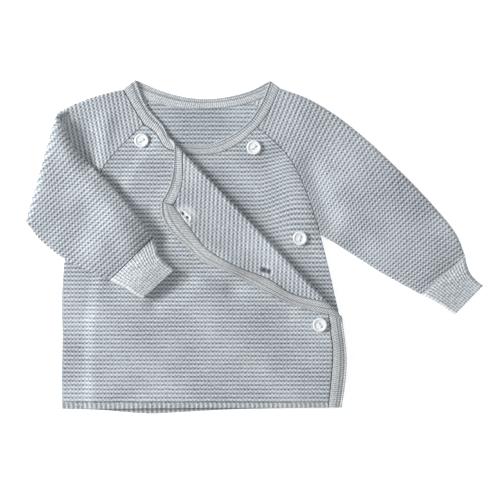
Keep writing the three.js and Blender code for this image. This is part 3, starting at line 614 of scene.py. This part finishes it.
def band(name, seam, free, place, relief, clear=0.3, across=18, turned=None):
    seam_side, free_side = side(seam), side(free)
    length = max(lengths(seam)[-1], lengths(free)[-1])
    v, thick = ends(int(length / ROW_STEP), length, TRIM)
    v = (clear + v * (length - 2 * clear)) / length
    a, b = seam_side(v), free_side(v)
    wide = np.hypot(*(b - a).T)
    even = evenly(across, len(v))
    share, height = around(even, even, wide, TRIM)
    near = (clear / wide)[:, None]
    share = near + share * (1 - near)
    p = a[:, None] + (b - a)[:, None] * share[..., None]
    t = np.repeat((v * length)[:, None], share.shape[1], 1)
    n = height * thick[:, None]
    d = relief(t, share) * np.abs(height)
    mid = TRIM / 2 + n * (TRIM / 2 + d)
    points = place(p.reshape(-1, 2), mid.ravel()).reshape(*share.shape, 3)
    on_top = turned(p.reshape(-1, 2)).reshape(share.shape) if turned else 0
    return knit_mesh(name, settle(points, on_top), np.stack([t, share * np.mean(wide)], -1))


def on_over(p, height):
    return flap_roll.place(p, height + (CLOTH - TRIM) / 2, CLOTH, over_underside, over_top)


def on_neck(p, height):
    height = height + (CLOTH - TRIM) / 2
    lying = np.column_stack([p, over_underside(p) + height])
    f = ease(-9, 2, flap_roll.down(p))[:, None]
    return lying + (flap_roll.place(p, height, CLOTH, over_underside, over_top) - lying) * f


front_trim = level(FRONT_LEVEL + (CLOTH - TRIM) / 2)
back_neckband = band("back_neckband_rib", joined(back_neck_left, back_neck_middle, back_neck_right),
    back_neck_free, level(0.0), ribbed, 0.05)
left_neckband = band("left_neckband_rib", joined(left_neck_sleeve, left_neck_front), left_neck_free,
    front_trim, ribbed)
left_edge_band = band("left_edge_band_rib", left_edge_seam, left_edge_free, front_trim, piped)
right_neckband = band("right_neckband_rib", joined(right_neck_sleeve, right_neck_front), right_neck_free,
    on_neck, ribbed, 0.45)
right_edge_band = band("right_edge_band_rib", right_edge_seam, right_edge_free, on_over, piped, 0.4,
    across=26, turned=turned_back)
back_hem_free = curve([[-SIDE_X, -1], [-88, -2], [-62, -4.3], [-44, -5.2], [-20, -4], [20, -1.8],
    [80, -0.5], [SIDE_X, 0]])
back_hem = band("back_hem_loops", back_hem_seam, back_hem_free, level(0.0), looped)
left_hem = band("left_front_hem_loops", hem_seam(UNDER_EDGE_X, SIDE_X),
    curve([[UNDER_EDGE_X, 0], [20, 0], [SIDE_X, 0.5]]), front_trim, looped)
right_hem = band("right_front_hem_loops", hem_seam(-SIDE_X, OVER_EDGE_X),
    curve([[-SIDE_X, -1], [-60, -0.6], [0, 0], [OVER_EDGE_X, 0]]), on_over, looped)

# %% [markdown]
# A sleeve is a tube pressed nearly flat, with an outer and an inner wall and rounded folds at both edges.
# It starts on the slanting seam, which bows away from the straight rows and fades towards the wrist.

# %% Sleeves
FAN = np.array([-95.7, -149.9])  # the left sleeve's rows spread out from here
FAN_REACH, FAN_START = 430, math.radians(68)  # how far away they are true to size, and the first one's angle
LEAN = 0.1  # how far the rows lean over beyond the elbow
FOLD = np.radians([-72, -36, 0, 36, 72])  # angles round the fold at each edge of the tube


def tube_ring(front, back):
    """Once round a flattened tube: shares across the width, and the direction in which the wall faces."""
    f, b = np.linspace(0, 1, front), np.linspace(1, 0, back)
    v = np.concatenate([np.zeros(len(FOLD)), f, np.ones(len(FOLD)), b])
    nx = np.concatenate([-np.cos(FOLD), f * 0, np.cos(FOLD), b * 0])
    nz = np.concatenate([np.sin(FOLD), f * 0 + 1, np.sin(FOLD[::-1]), b * 0 - 1])
    return tuple(np.append(k, k[0]) for k in (v, nx, nz))


def tube_mesh(name, ring, lower, upper, height, bows, wall, place, relief, cloth, inner_rows):
    """lower and upper are the tube's edges row by row; the inner wall runs back with fewer rows."""
    v, nx, nz = ring
    rows = np.concatenate([np.arange(len(lower)), np.linspace(len(lower) - 1, 0, inner_rows).astype(int)])
    inside = np.arange(len(rows)) >= len(lower)
    rows, inside = np.append(rows, 0), np.append(inside, False)
    lo, up, tall = lower[rows][:, None], upper[rows][:, None], height[rows][:, None]
    wide = np.linalg.norm(up - lo, axis=-1)
    r = tall / 2
    at = r + v * (wide - 2 * r)

    def plan(radius):
        share = np.clip((at + radius * nx) / wide, 0, 1)
        f = ((1 + nz) / 2)[None, :, None]
        bow = bows(share, rows)
        return lo + (up - lo) * share[..., None] + bow[0] * f + bow[1] * (1 - f), r + radius * nz

    base, _ = plan(r * np.ones_like(at))
    t, s = cloth(base)
    d = np.where(inside[:, None], -wall, relief(t, s))
    p, z = plan(r + d)
    points = place(p.reshape(-1, 2), z.ravel(), (tall + 0 * z).ravel()).reshape(*z.shape, 3)
    return knit_mesh(name, settle(points), np.stack([t, s], -1))


def bow_of(seam):
    """How a seam bows away from the straight line between its ends."""
    line = side(seam)
    return lambda v: line(v) - (seam[0] + (seam[-1] - seam[0]) * v[:, None])


def sleeve(name, raglans, necks, lower, upper, heights, fade_rows, turn, place, counts, cloth_of=None):
    """The front's seam comes first. turn is the side to which the seams are kept clear."""
    seams = [clear_of(joined(raglan, neck), turn * GAP / 2) for raglan, neck in zip(raglans, necks)]
    lower, upper = lower.copy(), upper.copy()
    lower[0], upper[0] = seams[0][0], seams[0][-1]
    bow = [bow_of(seam) for seam in seams]
    middle_of = (lower + upper) / 2
    way = unit(middle_of[-1] - middle_of[0])
    print(name, "runs", way.round(2))

    def bows(share, rows):
        fade = np.maximum(0, 1 - rows / fade_rows)[:, None, None] ** 1.4
        return [b(share.ravel()).reshape(*share.shape, 2) * fade for b in bow]

    def cloth(p):
        if cloth_of:
            return cloth_of(p)
        t, s = (p - middle_of[0]) @ left_of(way), (p - middle_of[0]) @ way
        return t, s + LEAN * t * ease(45, 95, s)

    return tube_mesh(name, tube_ring(*counts), lower, upper, heights, bows, CLOTH, place, stitches, cloth, 12)


def fanned(p):
    away = p - FAN
    t = np.hypot(away[..., 0], away[..., 1])
    s = -FAN_REACH * (np.arctan2(away[..., 1], away[..., 0]) - FAN_START)
    return t, s - LEAN * (t - FAN_REACH) * ease(20, 80, s)


LEFT_ROWS = 250
left_upper = side(curve([left_shoulder, [91, 266.6], [114.5, 252.8], [141, 232], [170, 204.8],
    [197, 177], [219.3, 149.6], [227, 130.9]]))
left_lower = side(curve([left_underarm, [123, 136], [155.7, 115.2], [188.2, 97.3]]))
along_left = np.linspace(0, 1, LEFT_ROWS)
left_heights = np.interp(along_left, np.linspace(0, 1, 6), [2 * CLOTH + GAP, 6.2, 7, 7, 6.6, 5.6])
left_sleeve = sleeve("left_sleeve_knit", (front_raglan_left, back_raglan_left),
    (left_neck_sleeve[::-1], back_neck_left[::-1]), left_lower(along_left),
    left_upper(along_left), left_heights, LEFT_ROWS * 2 / 3, -1,
    lambda p, z, tall: np.column_stack([p, z]), (140, 40), fanned)


def sleeve_edge(points, counts):
    """An edge of the folded sleeve, shared out before, on and beyond its crease."""
    line = curve(points, 60)
    s = sleeve_roll.across(line)
    a, b = np.argmax(s > 0), np.argmax(s > sleeve_roll.arc)
    parts = [side(line[: a + 1]), side(line[a : b + 1]), side(line[b:])]
    return joined(*[part(np.linspace(0, 1, n + 1)) for part, n in zip(parts, counts)])


BEFORE, ROUND, BEYOND = 75, 18, 150  # rows before, on and beyond the crease
upper_arm = [right_shoulder, [-78.5, 272.3], [-100, 266], [-117, 258.5]]
upper_fore = [[-109.2, 223.6], [-93.7, 207.5], [-68, 181], [-52.5, 161], [-41.5, 147.6]]
lower_arm = [right_underarm, [-128, 152], [-145.2, 160.5]]
lower_fore = [[-138, 143], [-120.4, 129.3], [-102, 119.5], [-79.3, 110.4]]
right_upper, right_lower = (sleeve_edge([*arm, *sleeve_roll.unfold(fore)], (BEFORE, ROUND, BEYOND))
    for arm, fore in ((upper_arm, upper_fore), (lower_arm, lower_fore)))
fore_heights = np.interp(np.linspace(0, 1, BEYOND), np.linspace(0, 1, 4), [SLEEVE_STACK, 6.2, 6.6, 5.8])
right_heights = np.concatenate([np.linspace(2 * CLOTH + GAP, SLEEVE_STACK, BEFORE + 1 + ROUND), fore_heights])


def folded_place(p, z, tall):
    stack = np.where(sleeve_roll.across(p) < sleeve_roll.arc, SLEEVE_STACK, tall)
    return sleeve_roll.place(p, z, stack, lambda q: np.zeros(len(q)), sleeve_floor)


right_sleeve = sleeve("right_sleeve_knit", (front_raglan_right, back_raglan_right),
    (right_neck_sleeve[::-1], back_neck_right), right_lower, right_upper, right_heights,
    BEFORE, 1, folded_place, (118, 118))

# %% [markdown]
# A cuff is a short ribbed tube. Its ribs run along the arm, and its mouth is open.

# %% Cuffs
CUFF_RIB, CUFF_INNER = 2.6, 8  # ribs apart, and rows of the inner wall


def cuff(name, upper, lower, floor):
    rows = np.linspace(0, 1, 60)
    low, up = side(curve(lower))(rows), side(curve(upper))(rows)
    tall = np.interp(rows, np.linspace(0, 1, 5), [5.6, 5.4, 5.2, 5.0, 4.8])
    ring = tube_ring(90, 90)
    wide = np.hypot(*(up - low).T).mean()
    centre = (low + up) / 2
    way = unit(centre[-1] - centre[0])
    t_of = np.repeat((ring[0] * wide)[None], len(rows) + CUFF_INNER + 1, 0)

    def cloth(p):
        return t_of, (p - centre[0]) @ way

    def relief(t, s):
        return -0.45 * grooves(t, CUFF_RIB) + 0.1

    def straight(share, index):
        return [np.zeros((*share.shape, 2))] * 2

    return tube_mesh(name, ring, low, up, tall, straight, TRIM,
        lambda p, z, height: np.column_stack([p, floor(p) + z]), relief, cloth, CUFF_INNER)


step_off = np.array([1, -1]) / 2**0.5 * GAP  # the air between a sleeve and its cuff
left_cuff = cuff("left_cuff_rib", [np.array([227.2, 130.4]) + step_off, [228.2, 125], [231.5, 116],
    [238, 108.8], [242.5, 105.5]],
    [np.array([188.6, 97]) + step_off, [197, 93.2], [205, 88.7], [213, 83], [217.6, 80]],
    lambda p: np.zeros(len(p)))
right_cuff = cuff("right_cuff_rib", [np.array([-41.2, 147.2]) + step_off, [-39.5, 141], [-36.5, 131],
    [-29, 123.2], [-23.2, 118.7]],
    [np.array([-79, 110]) + step_off, [-71.5, 106], [-63.6, 102], [-56, 96.6], [-50.7, 94.4]],
    lambda p: sleeve_floor(p) + GAP)

# %% [markdown]
# A button is a turned disc with a raised rim, a hollow face and two holes. Its profile is spun round once,
# the holes are cut with a Boolean, and a bar of thread runs between them.

# %% Buttons
BUTTON_R = 6.3
PROFILE = [(0, 0), (4.5, 0), (5.9, 0.6), (BUTTON_R, 1.4), (6.15, 2.1), (5.6, 2.55), (4.9, 2.6), (4.4, 2.35),
    (4.1, 1.9), (3.6, 1.75), (0, 1.8)]


def rod(bm, segments, foot, head, length, matrix):
    bmesh.ops.create_cone(bm, cap_ends=True, segments=segments, radius1=foot, radius2=head, depth=length,
        matrix=matrix)


def spun(profile, steps):
    bm = bmesh.new()
    corners = [bm.verts.new((r, 0, z)) for r, z in profile]
    edges = [bm.edges.new(pair) for pair in zip(corners, corners[1:])]
    bmesh.ops.spin(bm, geom=corners + edges, cent=(0, 0, 0), axis=(0, 0, 1), angle=TURN, steps=steps,
        use_merge=True)
    bmesh.ops.remove_doubles(bm, verts=bm.verts, dist=1e-4)
    bmesh.ops.recalc_face_normals(bm, faces=bm.faces)
    return bm


def cut_holes(disc):
    bm = bmesh.new()
    for x in (-1.9, 1.9):
        rod(bm, 16, 0.85, 0.85, 9, Matrix.Translation((x, 0, 1)))
    cutter = stand("drill", mesh_of("drill", bm))
    blank = stand("blank", disc)
    boolean = blank.modifiers.new("holes", "BOOLEAN")
    boolean.operation, boolean.object, boolean.solver = "DIFFERENCE", cutter, "EXACT"
    bpy.context.view_layer.update()
    cut = bpy.data.meshes.new_from_object(blank.evaluated_get(bpy.context.evaluated_depsgraph_get()))
    bpy.data.objects.remove(blank)
    bpy.data.objects.remove(cutter)
    return cut


def under_top(p):
    return np.full(len(p), FRONT_LEVEL + CLOTH)


def seat(at, turn, top):
    """Where a button lies: flat on its cloth, turned, and tilted with the slope below it."""
    (x, y), r = at, BUTTON_R
    ring = np.array([[x + r, y], [x - r, y], [x, y + r], [x, y - r], at])
    base = settle(np.column_stack([ring, top(ring)]))
    slope = Vector((base[1, 2] - base[0, 2], base[3, 2] - base[2, 2], 2 * BUTTON_R)).normalized()
    height = max(base[4, 2], base[:2, 2].mean(), base[2:4, 2].mean()) + GAP
    tilt = Vector((0, 0, 1)).rotation_difference(slope).to_matrix().to_4x4()
    spin = Matrix.Rotation(math.radians(turn), 4, "Z")
    return Matrix.Translation((base[4, 0], base[4, 1], height)) @ tilt @ spin


turned_disc = cut_holes(mesh_of("disc", spun(PROFILE, 48)))
BUTTONS = {  # place, turn, and the cloth that it lies on
    "button_right_neck": ((-52, 230), 30, over_top),
    "button_left_upper": ((44.7, 224), 40, under_top),
    "button_left_middle": ((84.5, 146), 75, under_top),
    "button_fastened": (FASTENED, -62, over_top),
}
buttons, threads = {}, {}
for name, (at, turn, top) in BUTTONS.items():
    place = Matrix.Diagonal((MM, MM, MM, 1)) @ seat(at, turn, top)
    mesh = turned_disc.copy()
    mesh.transform(place)
    mesh.shade_smooth()
    buttons[name] = stand(name + "_shell", mesh)
    bm = bmesh.new()
    for y in (-0.35, 0.35):  # two strands, and the plugs below them
        rod(bm, 10, 0.36, 0.36, 3.6, Matrix.Translation((0, y, 2.05)) @ Matrix.Rotation(math.pi / 2, 4, "Y"))
    for x in (-1.8, 1.8):
        rod(bm, 10, 0.78, 0.84, 2.6, Matrix.Translation((x, 0, 1.15)))
    bmesh.ops.transform(bm, matrix=place, verts=bm.verts)
    mesh = mesh_of(name + "_thread", bm)
    mesh.shade_smooth()
    threads[name] = stand(name + "_thread", mesh)
print("button faces", len(turned_disc.polygons))

# %% [markdown]
# Materials are written as sums. A small class wraps one socket, so that adding two of them adds a Math
# node; every other node comes from one method of the finish it belongs to.


# %% Shader arithmetic
class Wire:
    def __init__(self, finish, socket):
        self.finish, self.socket = finish, socket

    def math(self, operation, *values):
        return self.finish.node("ShaderNodeMath", {"operation": operation}, dict(enumerate((self, *values))))

    def __add__(self, other):
        return self.math("ADD", other)

    def __sub__(self, other):
        return self.math("SUBTRACT", other)

    def __mul__(self, other):
        return self.math("MULTIPLY", other)

    def __truediv__(self, other):
        return self.math("DIVIDE", other)

    def __rsub__(self, other):
        return (self * -1) + other

    def clipped(self):
        return self.finish.node("ShaderNodeClamp", {}, {"Value": self})


class Finish:
    def __init__(self, name, roughness=0.9, **sockets):
        self.material = bpy.data.materials.new(name)
        self.material.use_nodes = True
        self.nodes, self.links = self.material.node_tree.nodes, self.material.node_tree.links
        self.shader = self.nodes["Principled BSDF"]
        self.shader.inputs["Roughness"].default_value = roughness
        for socket, value in sockets.items():
            self.shader.inputs[socket.replace("_", " ")].default_value = value

    def node(self, kind, settings, inputs, output=0):
        made = self.nodes.new(kind)
        for key, value in settings.items():
            setattr(made, key, value)
        for key, value in inputs.items():
            self.feed(made.inputs[key], value)
        return Wire(self, made.outputs[output])

    def feed(self, socket, value):
        if isinstance(value, Wire):
            self.links.new(value.socket, socket)
        else:
            socket.default_value = value

    def colour(self, share, low, high):
        return self.node("ShaderNodeMix", {"data_type": "RGBA"}, {0: share, 6: low, 7: high}, 2)

    def noise(self, scale, detail, vector):
        return self.node("ShaderNodeTexNoise", {}, {"Scale": scale, "Detail": detail, "Vector": vector})

    def show(self, colour, relief=None, depth=0.0004, strength=1.0):
        self.feed(self.shader.inputs["Base Color"], colour)
        if relief is not None:
            settings = {"Height": relief, "Distance": depth, "Strength": strength}
            bump = self.node("ShaderNodeBump", {}, settings)
            self.feed(self.shader.inputs["Normal"], bump)


def shade(red, green, blue):
    """A colour as it is seen, turned into the linear values that the shader adds up."""
    linear = [c / 255 / 12.92 if c <= 10 else ((c / 255 + 0.055) / 1.055) ** 2.4 for c in (red, green, blue)]
    return (*linear, 1)


# %% [markdown]
# The yarn is a pale grey-blue twist of a light and a darker strand. Its colour varies along the strand and
# slowly over the garment. The pits between the stitches are painted darker than the bumps: painted shade.

# %% Knit finishes


def cloth_millimetres(finish):
    """The cloth's own millimetres, along a row and across the rows."""
    uv = finish.node("ShaderNodeUVMap", {"uv_map": "cloth"}, {})
    split = finish.node("ShaderNodeSeparateXYZ", {}, {0: uv})
    t = split * 1000
    s = Wire(finish, split.socket.node.outputs[1]) * 1000
    return uv, t, s


def wave_of(value, pitch):
    return (value * (TURN / pitch)).math("COSINE")


def fade(value, centre, width):
    """One at the centre, falling to nothing at the width on either side."""
    return (1 - (value - centre).math("ABSOLUTE") / width).clipped()


def knit_finish(name, light, dark, spots=()):
    """spots are places with their radius, strength and colour."""
    f = Finish(name, 0.92, Sheen_Weight=0.25, Sheen_Roughness=0.6, Specular_IOR_Level=0.2)
    uv, t, s = cloth_millimetres(f)
    slow = f.noise(22, 2, uv) - 0.5
    wander = f.noise(160, 1, uv) - 0.5
    t, s = t + wander * 1.1, s + (f.noise(190, 1, uv) - 0.5) * 0.7
    wave = wave_of(t, STITCH)
    bump = wave_of(s + wave * (ARCH * RIDGE), RIDGE) * (wave * 0.23 + 0.27) + 0.5
    twist = f.noise(620, 2, uv) - 0.5
    fluff = f.noise(2400, 2, uv)
    # painted shade: the tone follows the relief, dark in the pits and light on the bumps; twist and slow are
    # the yarn's own tone
    tone = (bump * 1.15 - 0.05 + twist * 1.0 + slow * 0.6).clipped()
    colour = f.colour(tone, shade(*dark), shade(*light))
    place = f.node("ShaderNodeTexCoord", {}, {}, 3)
    place = f.node("ShaderNodeVectorMath", {"operation": "MULTIPLY"}, {0: place, 1: (1, 1, 0)})
    # each spot paints a colour over the cloth: the white thread of a worked edge, or painted shade in a
    # buttonhole's slit
    for at, radius, strength, tint in spots:
        away = f.node("ShaderNodeVectorMath", {"operation": "DISTANCE"}, {0: place, 1: at}, 1)
        near = fade(away * 1000, 0, radius)
        worked = near * strength + twist * 0.8 * near
        colour = f.colour(worked.clipped(), colour, shade(*tint))
    f.show(colour, bump * 0.6 + fluff * 0.5 + twist * 0.8, 0.0007, 0.8)
    return f.material


def rib_finish(name, light, dark, pitch, along, lines=(), flecks=0.15, base=0.12):
    """lines are darker stripes along the strip, painted shade in the groove beside the lip: where, how wide
    and how dark. The gaps between the ribs are painted darker too, as painted shade.
    """
    f = Finish(name, 0.9, Sheen_Weight=0.2, Sheen_Roughness=0.6, Specular_IOR_Level=0.2)
    uv, t, s = cloth_millimetres(f)
    t = t + (f.noise(120, 1, uv) - 0.5) * 0.9
    ribs = wave_of(t, pitch) * 0.5 + 0.5
    rows = wave_of(s + (f.noise(400, 1, uv) - 0.5) * 4.0, along) * 0.5 + 0.5
    slow, twist, fluff = f.noise(30, 2, uv) - 0.5, f.noise(700, 2, uv) - 0.5, f.noise(2400, 2, uv)
    # painted shade: the tone is darker in the gaps between the ribs, following their relief, and along the
    # given lines
    tone = ribs * (0.7 - flecks) + rows * flecks + base + twist * 1.3 + slow * 0.5
    for centre, width, darker in lines:
        tone = tone - fade(s, centre, width) * darker
    colour = f.colour(tone.clipped(), shade(*dark), shade(*light))
    f.show(colour, ribs * 0.6 + rows * 0.2 + fluff * 0.4 + twist * 0.4, 0.0004, 0.8)
    return f.material


# the dark end is the darker strand of the yarn and also the painted shade in the pits between the stitches
LIGHT_YARN, DARK_YARN_AND_PIT_SHADE = (212, 219, 225), (90, 97, 105)
KNIT = knit_finish("pale_garter_knit", LIGHT_YARN, DARK_YARN_AND_PIT_SHADE)
WORKED_EDGE_AND_SLIT_SHADE = []  # the fuzzy worked edge of the two buttonholes in the flap, and painted shade for the dark slits in it
for (at, angle, *_), fuzz, slit_shade, apart in zip(BUTTONHOLES[:2], ((11, 1.1), (7, 0.5)), (1.7, 3.0), (2.4, 2.0)):
    at, way = np.add(at, DRAFT_SHIFT), heading(angle)
    WORKED_EDGE_AND_SLIT_SHADE.append(((*(at * MM), 0), *fuzz, (246, 249, 252)))
    # painted shade: a dark patch over each of the two slits of a buttonhole, where the hole is in shade
    WORKED_EDGE_AND_SLIT_SHADE += [((*((at + way * k * apart) * MM), 0), slit_shade, 1.6, (78, 84, 91)) for k in (-1, 1)]
OVER = knit_finish("over_front_garter_knit", LIGHT_YARN, DARK_YARN_AND_PIT_SHADE, WORKED_EDGE_AND_SLIT_SHADE)
FACING = knit_finish("inner_garter_knit", (203, 211, 218), (88, 95, 103))
# the line in each band's list is painted shade along the groove beside its lip
BAND = rib_finish("neckband_rib", (226, 231, 234), (128, 134, 139), EDGE_RIB, 2.6, [(7.0, 1.1, 0.5)])
EDGE = rib_finish("front_edge_rib", (216, 220, 222), (128, 132, 134), EDGE_RIB, 3.2, [(7.7, 1.0, 0.55)])
CUFF = rib_finish("cuff_rib", (234, 240, 244), (112, 118, 126), CUFF_RIB, 2.8, flecks=0.34, base=0.16)
HEM = rib_finish("hem_loops", (208, 213, 217), (120, 126, 130), LOOP, 2.5)

pearl = Finish("pearly_button", 0.22, Coat_Weight=0.6, Coat_Roughness=0.12)
spot = pearl.node("ShaderNodeTexCoord", {}, {}, 3)
milk = (pearl.noise(240, 3, spot) * 1.6 - 0.3).clipped()
milky = pearl.colour(milk, shade(206, 209, 211), shade(240, 242, 243))
pearl.show(milky, pearl.noise(900, 2, spot), 0.00004, 0.4)
thread = Finish("button_thread", 0.85)
spot = thread.node("ShaderNodeTexCoord", {}, {}, 3)
thread.show(thread.colour(thread.noise(1500, 2, spot), shade(206, 210, 214), shade(242, 245, 247)),
    thread.noise(2600, 2, spot), 0.0002, 0.8)
print("finishes", len(bpy.data.materials))

# %% [markdown]
# Every piece gets its finish, hangs from the root and hides the solid it stands for; the table also lists its
# slot, the size of its cut and what it lies on, which are not used.

# %% What each piece stands for
PIECES = [  # piece, solid, slot, finish, flat size in millimetres, flat area, what it lies on
    (back_panel, "back_panel", "knit", FACING, (243.5, 263.4), 52700, ["floor"]),
    (left_front, "left_front", "knit", KNIT, (202, 236.5), 37650, ["back_panel_knit"]),
    (right_front, "right_front", "knit", OVER, (233.5, 239), 44750, ["back_panel_knit", "left_front_knit"]),
    (left_sleeve, "left_sleeve", "knit", KNIT, (215, 175), 27300, ["floor"]),
    (right_sleeve, "right_sleeve", "knit", KNIT, (201, 208), 27700, ["floor", "right_front_knit"]),
    (left_cuff, "left_cuff", "cuff", CUFF, (102, 33), 2640, ["floor"]),
    (right_cuff, "right_cuff", "cuff", CUFF, (106, 34), 2870, ["right_front_knit"]),
    (back_neckband, "back_neckband", "trim", BAND, (142, 10.7), 1250, ["floor"]),
    (left_neckband, "left_neckband", "trim", BAND, (120, 10.7), 1020, ["back_panel_knit"]),
    (right_neckband, "right_neckband", "trim", BAND, (126.5, 10), 1100, ["back_panel_knit"]),
    (left_edge_band, "left_edge_band", "trim", EDGE, (241, 12), 2600, ["back_panel_knit"]),
    (right_edge_band, "right_edge_band", "trim", EDGE, (274, 13), 2700, ["left_front_knit"]),
]
# edgings too narrow to be sheets
HEMS = {"back_panel": back_hem, "left_front": left_hem, "right_front": right_hem}

for solid, hem in HEMS.items():
    hem.data.materials.append(HEM)
    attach(hem, "root")
    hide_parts(solid.replace("panel", "hem") if "panel" in solid else solid + "_hem")
for piece, solid, slot, finish, flat, area, below in PIECES:
    piece.data.materials.append(finish)
    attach(piece, "root")
    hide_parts(solid)
    flat[0] * MM
    flat[1] * MM
    "folded" if "right" in solid else "laid"
    area * MM * MM
    [HEMS[solid]] if solid in HEMS else []
for name in BUTTONS:
    buttons[name].data.materials.append(pearl.material)
    threads[name].data.materials.append(thread.material)
    for piece, slot in ((buttons[name], "button"), (threads[name], "knit")):
        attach(piece, "root")
    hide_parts(name)

# %% [markdown]
# The cardigan lies on a plain white table. A broad window stands to its left, a weak fill light above, and
# the camera looks straight down from far away through a long lens.

# %% The floor, the light and the camera
FLOOR_DEPTH = 0.0004  # the table is a little below the cloth
LENS, SENSOR = 200, 36
SEEN, SEEN_AT = 0.4266, 0.008  # width of what the camera sees, in metres, at this height above the table

bm = bmesh.new()
bmesh.ops.create_grid(bm, x_segments=8, y_segments=8, size=3)
bmesh.ops.translate(bm, vec=(0, 0, -FLOOR_DEPTH), verts=bm.verts)
floor = stand("floor", mesh_of("floor", bm))
floor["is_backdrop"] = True
paper = Finish("pale_floor", 0.9, Emission_Color=(1, 1, 1, 1), Emission_Strength=0.5)
paper.show(paper.colour(paper.noise(6, 2, paper.node("ShaderNodeTexCoord", {}, {}, 3)), shade(252, 252, 252),
    shade(254, 254, 254)))
floor.data.materials.append(paper.material)


def lamp(name, place, size, watts):
    """A round lamp that faces the middle of the table."""
    light = bpy.data.lights.new(name, "AREA")
    light.shape, light.size, light.energy = "DISK", size, watts
    facing = Vector(place).to_track_quat("Z", "Y").to_matrix().to_4x4()
    stand(name, light).matrix_world = Matrix.Translation(place) @ facing


lamp("window", (-1.85, 0.35, 1.3), 0.7, 59)
lamp("fill", (1.0, 0.2, 2.2), 2.0, 10)
world = bpy.data.worlds.new("room")
world.use_nodes = True
sky = world.node_tree.nodes["Background"].inputs
sky["Color"].default_value, sky["Strength"].default_value = (1, 1, 1, 1), 0.38
bpy.context.scene.world = world
bpy.context.scene.view_settings.view_transform = "Standard"

camera = bpy.data.cameras.new("above")
camera.lens, camera.sensor_width = LENS, SENSOR
camera.clip_end = 20
viewer = stand("above", camera)
viewer.matrix_world = Matrix.Translation((-0.0059, -0.0011, SEEN * LENS / SENSOR + SEEN_AT))
bpy.context.scene.camera = viewer

# %% [markdown]
# The last step prints the size of the box round everything that is shown, apart from the floor.

# %% The size of the finished cardigan
low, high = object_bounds()
print("box", [round(v, 4) for v in high - low])
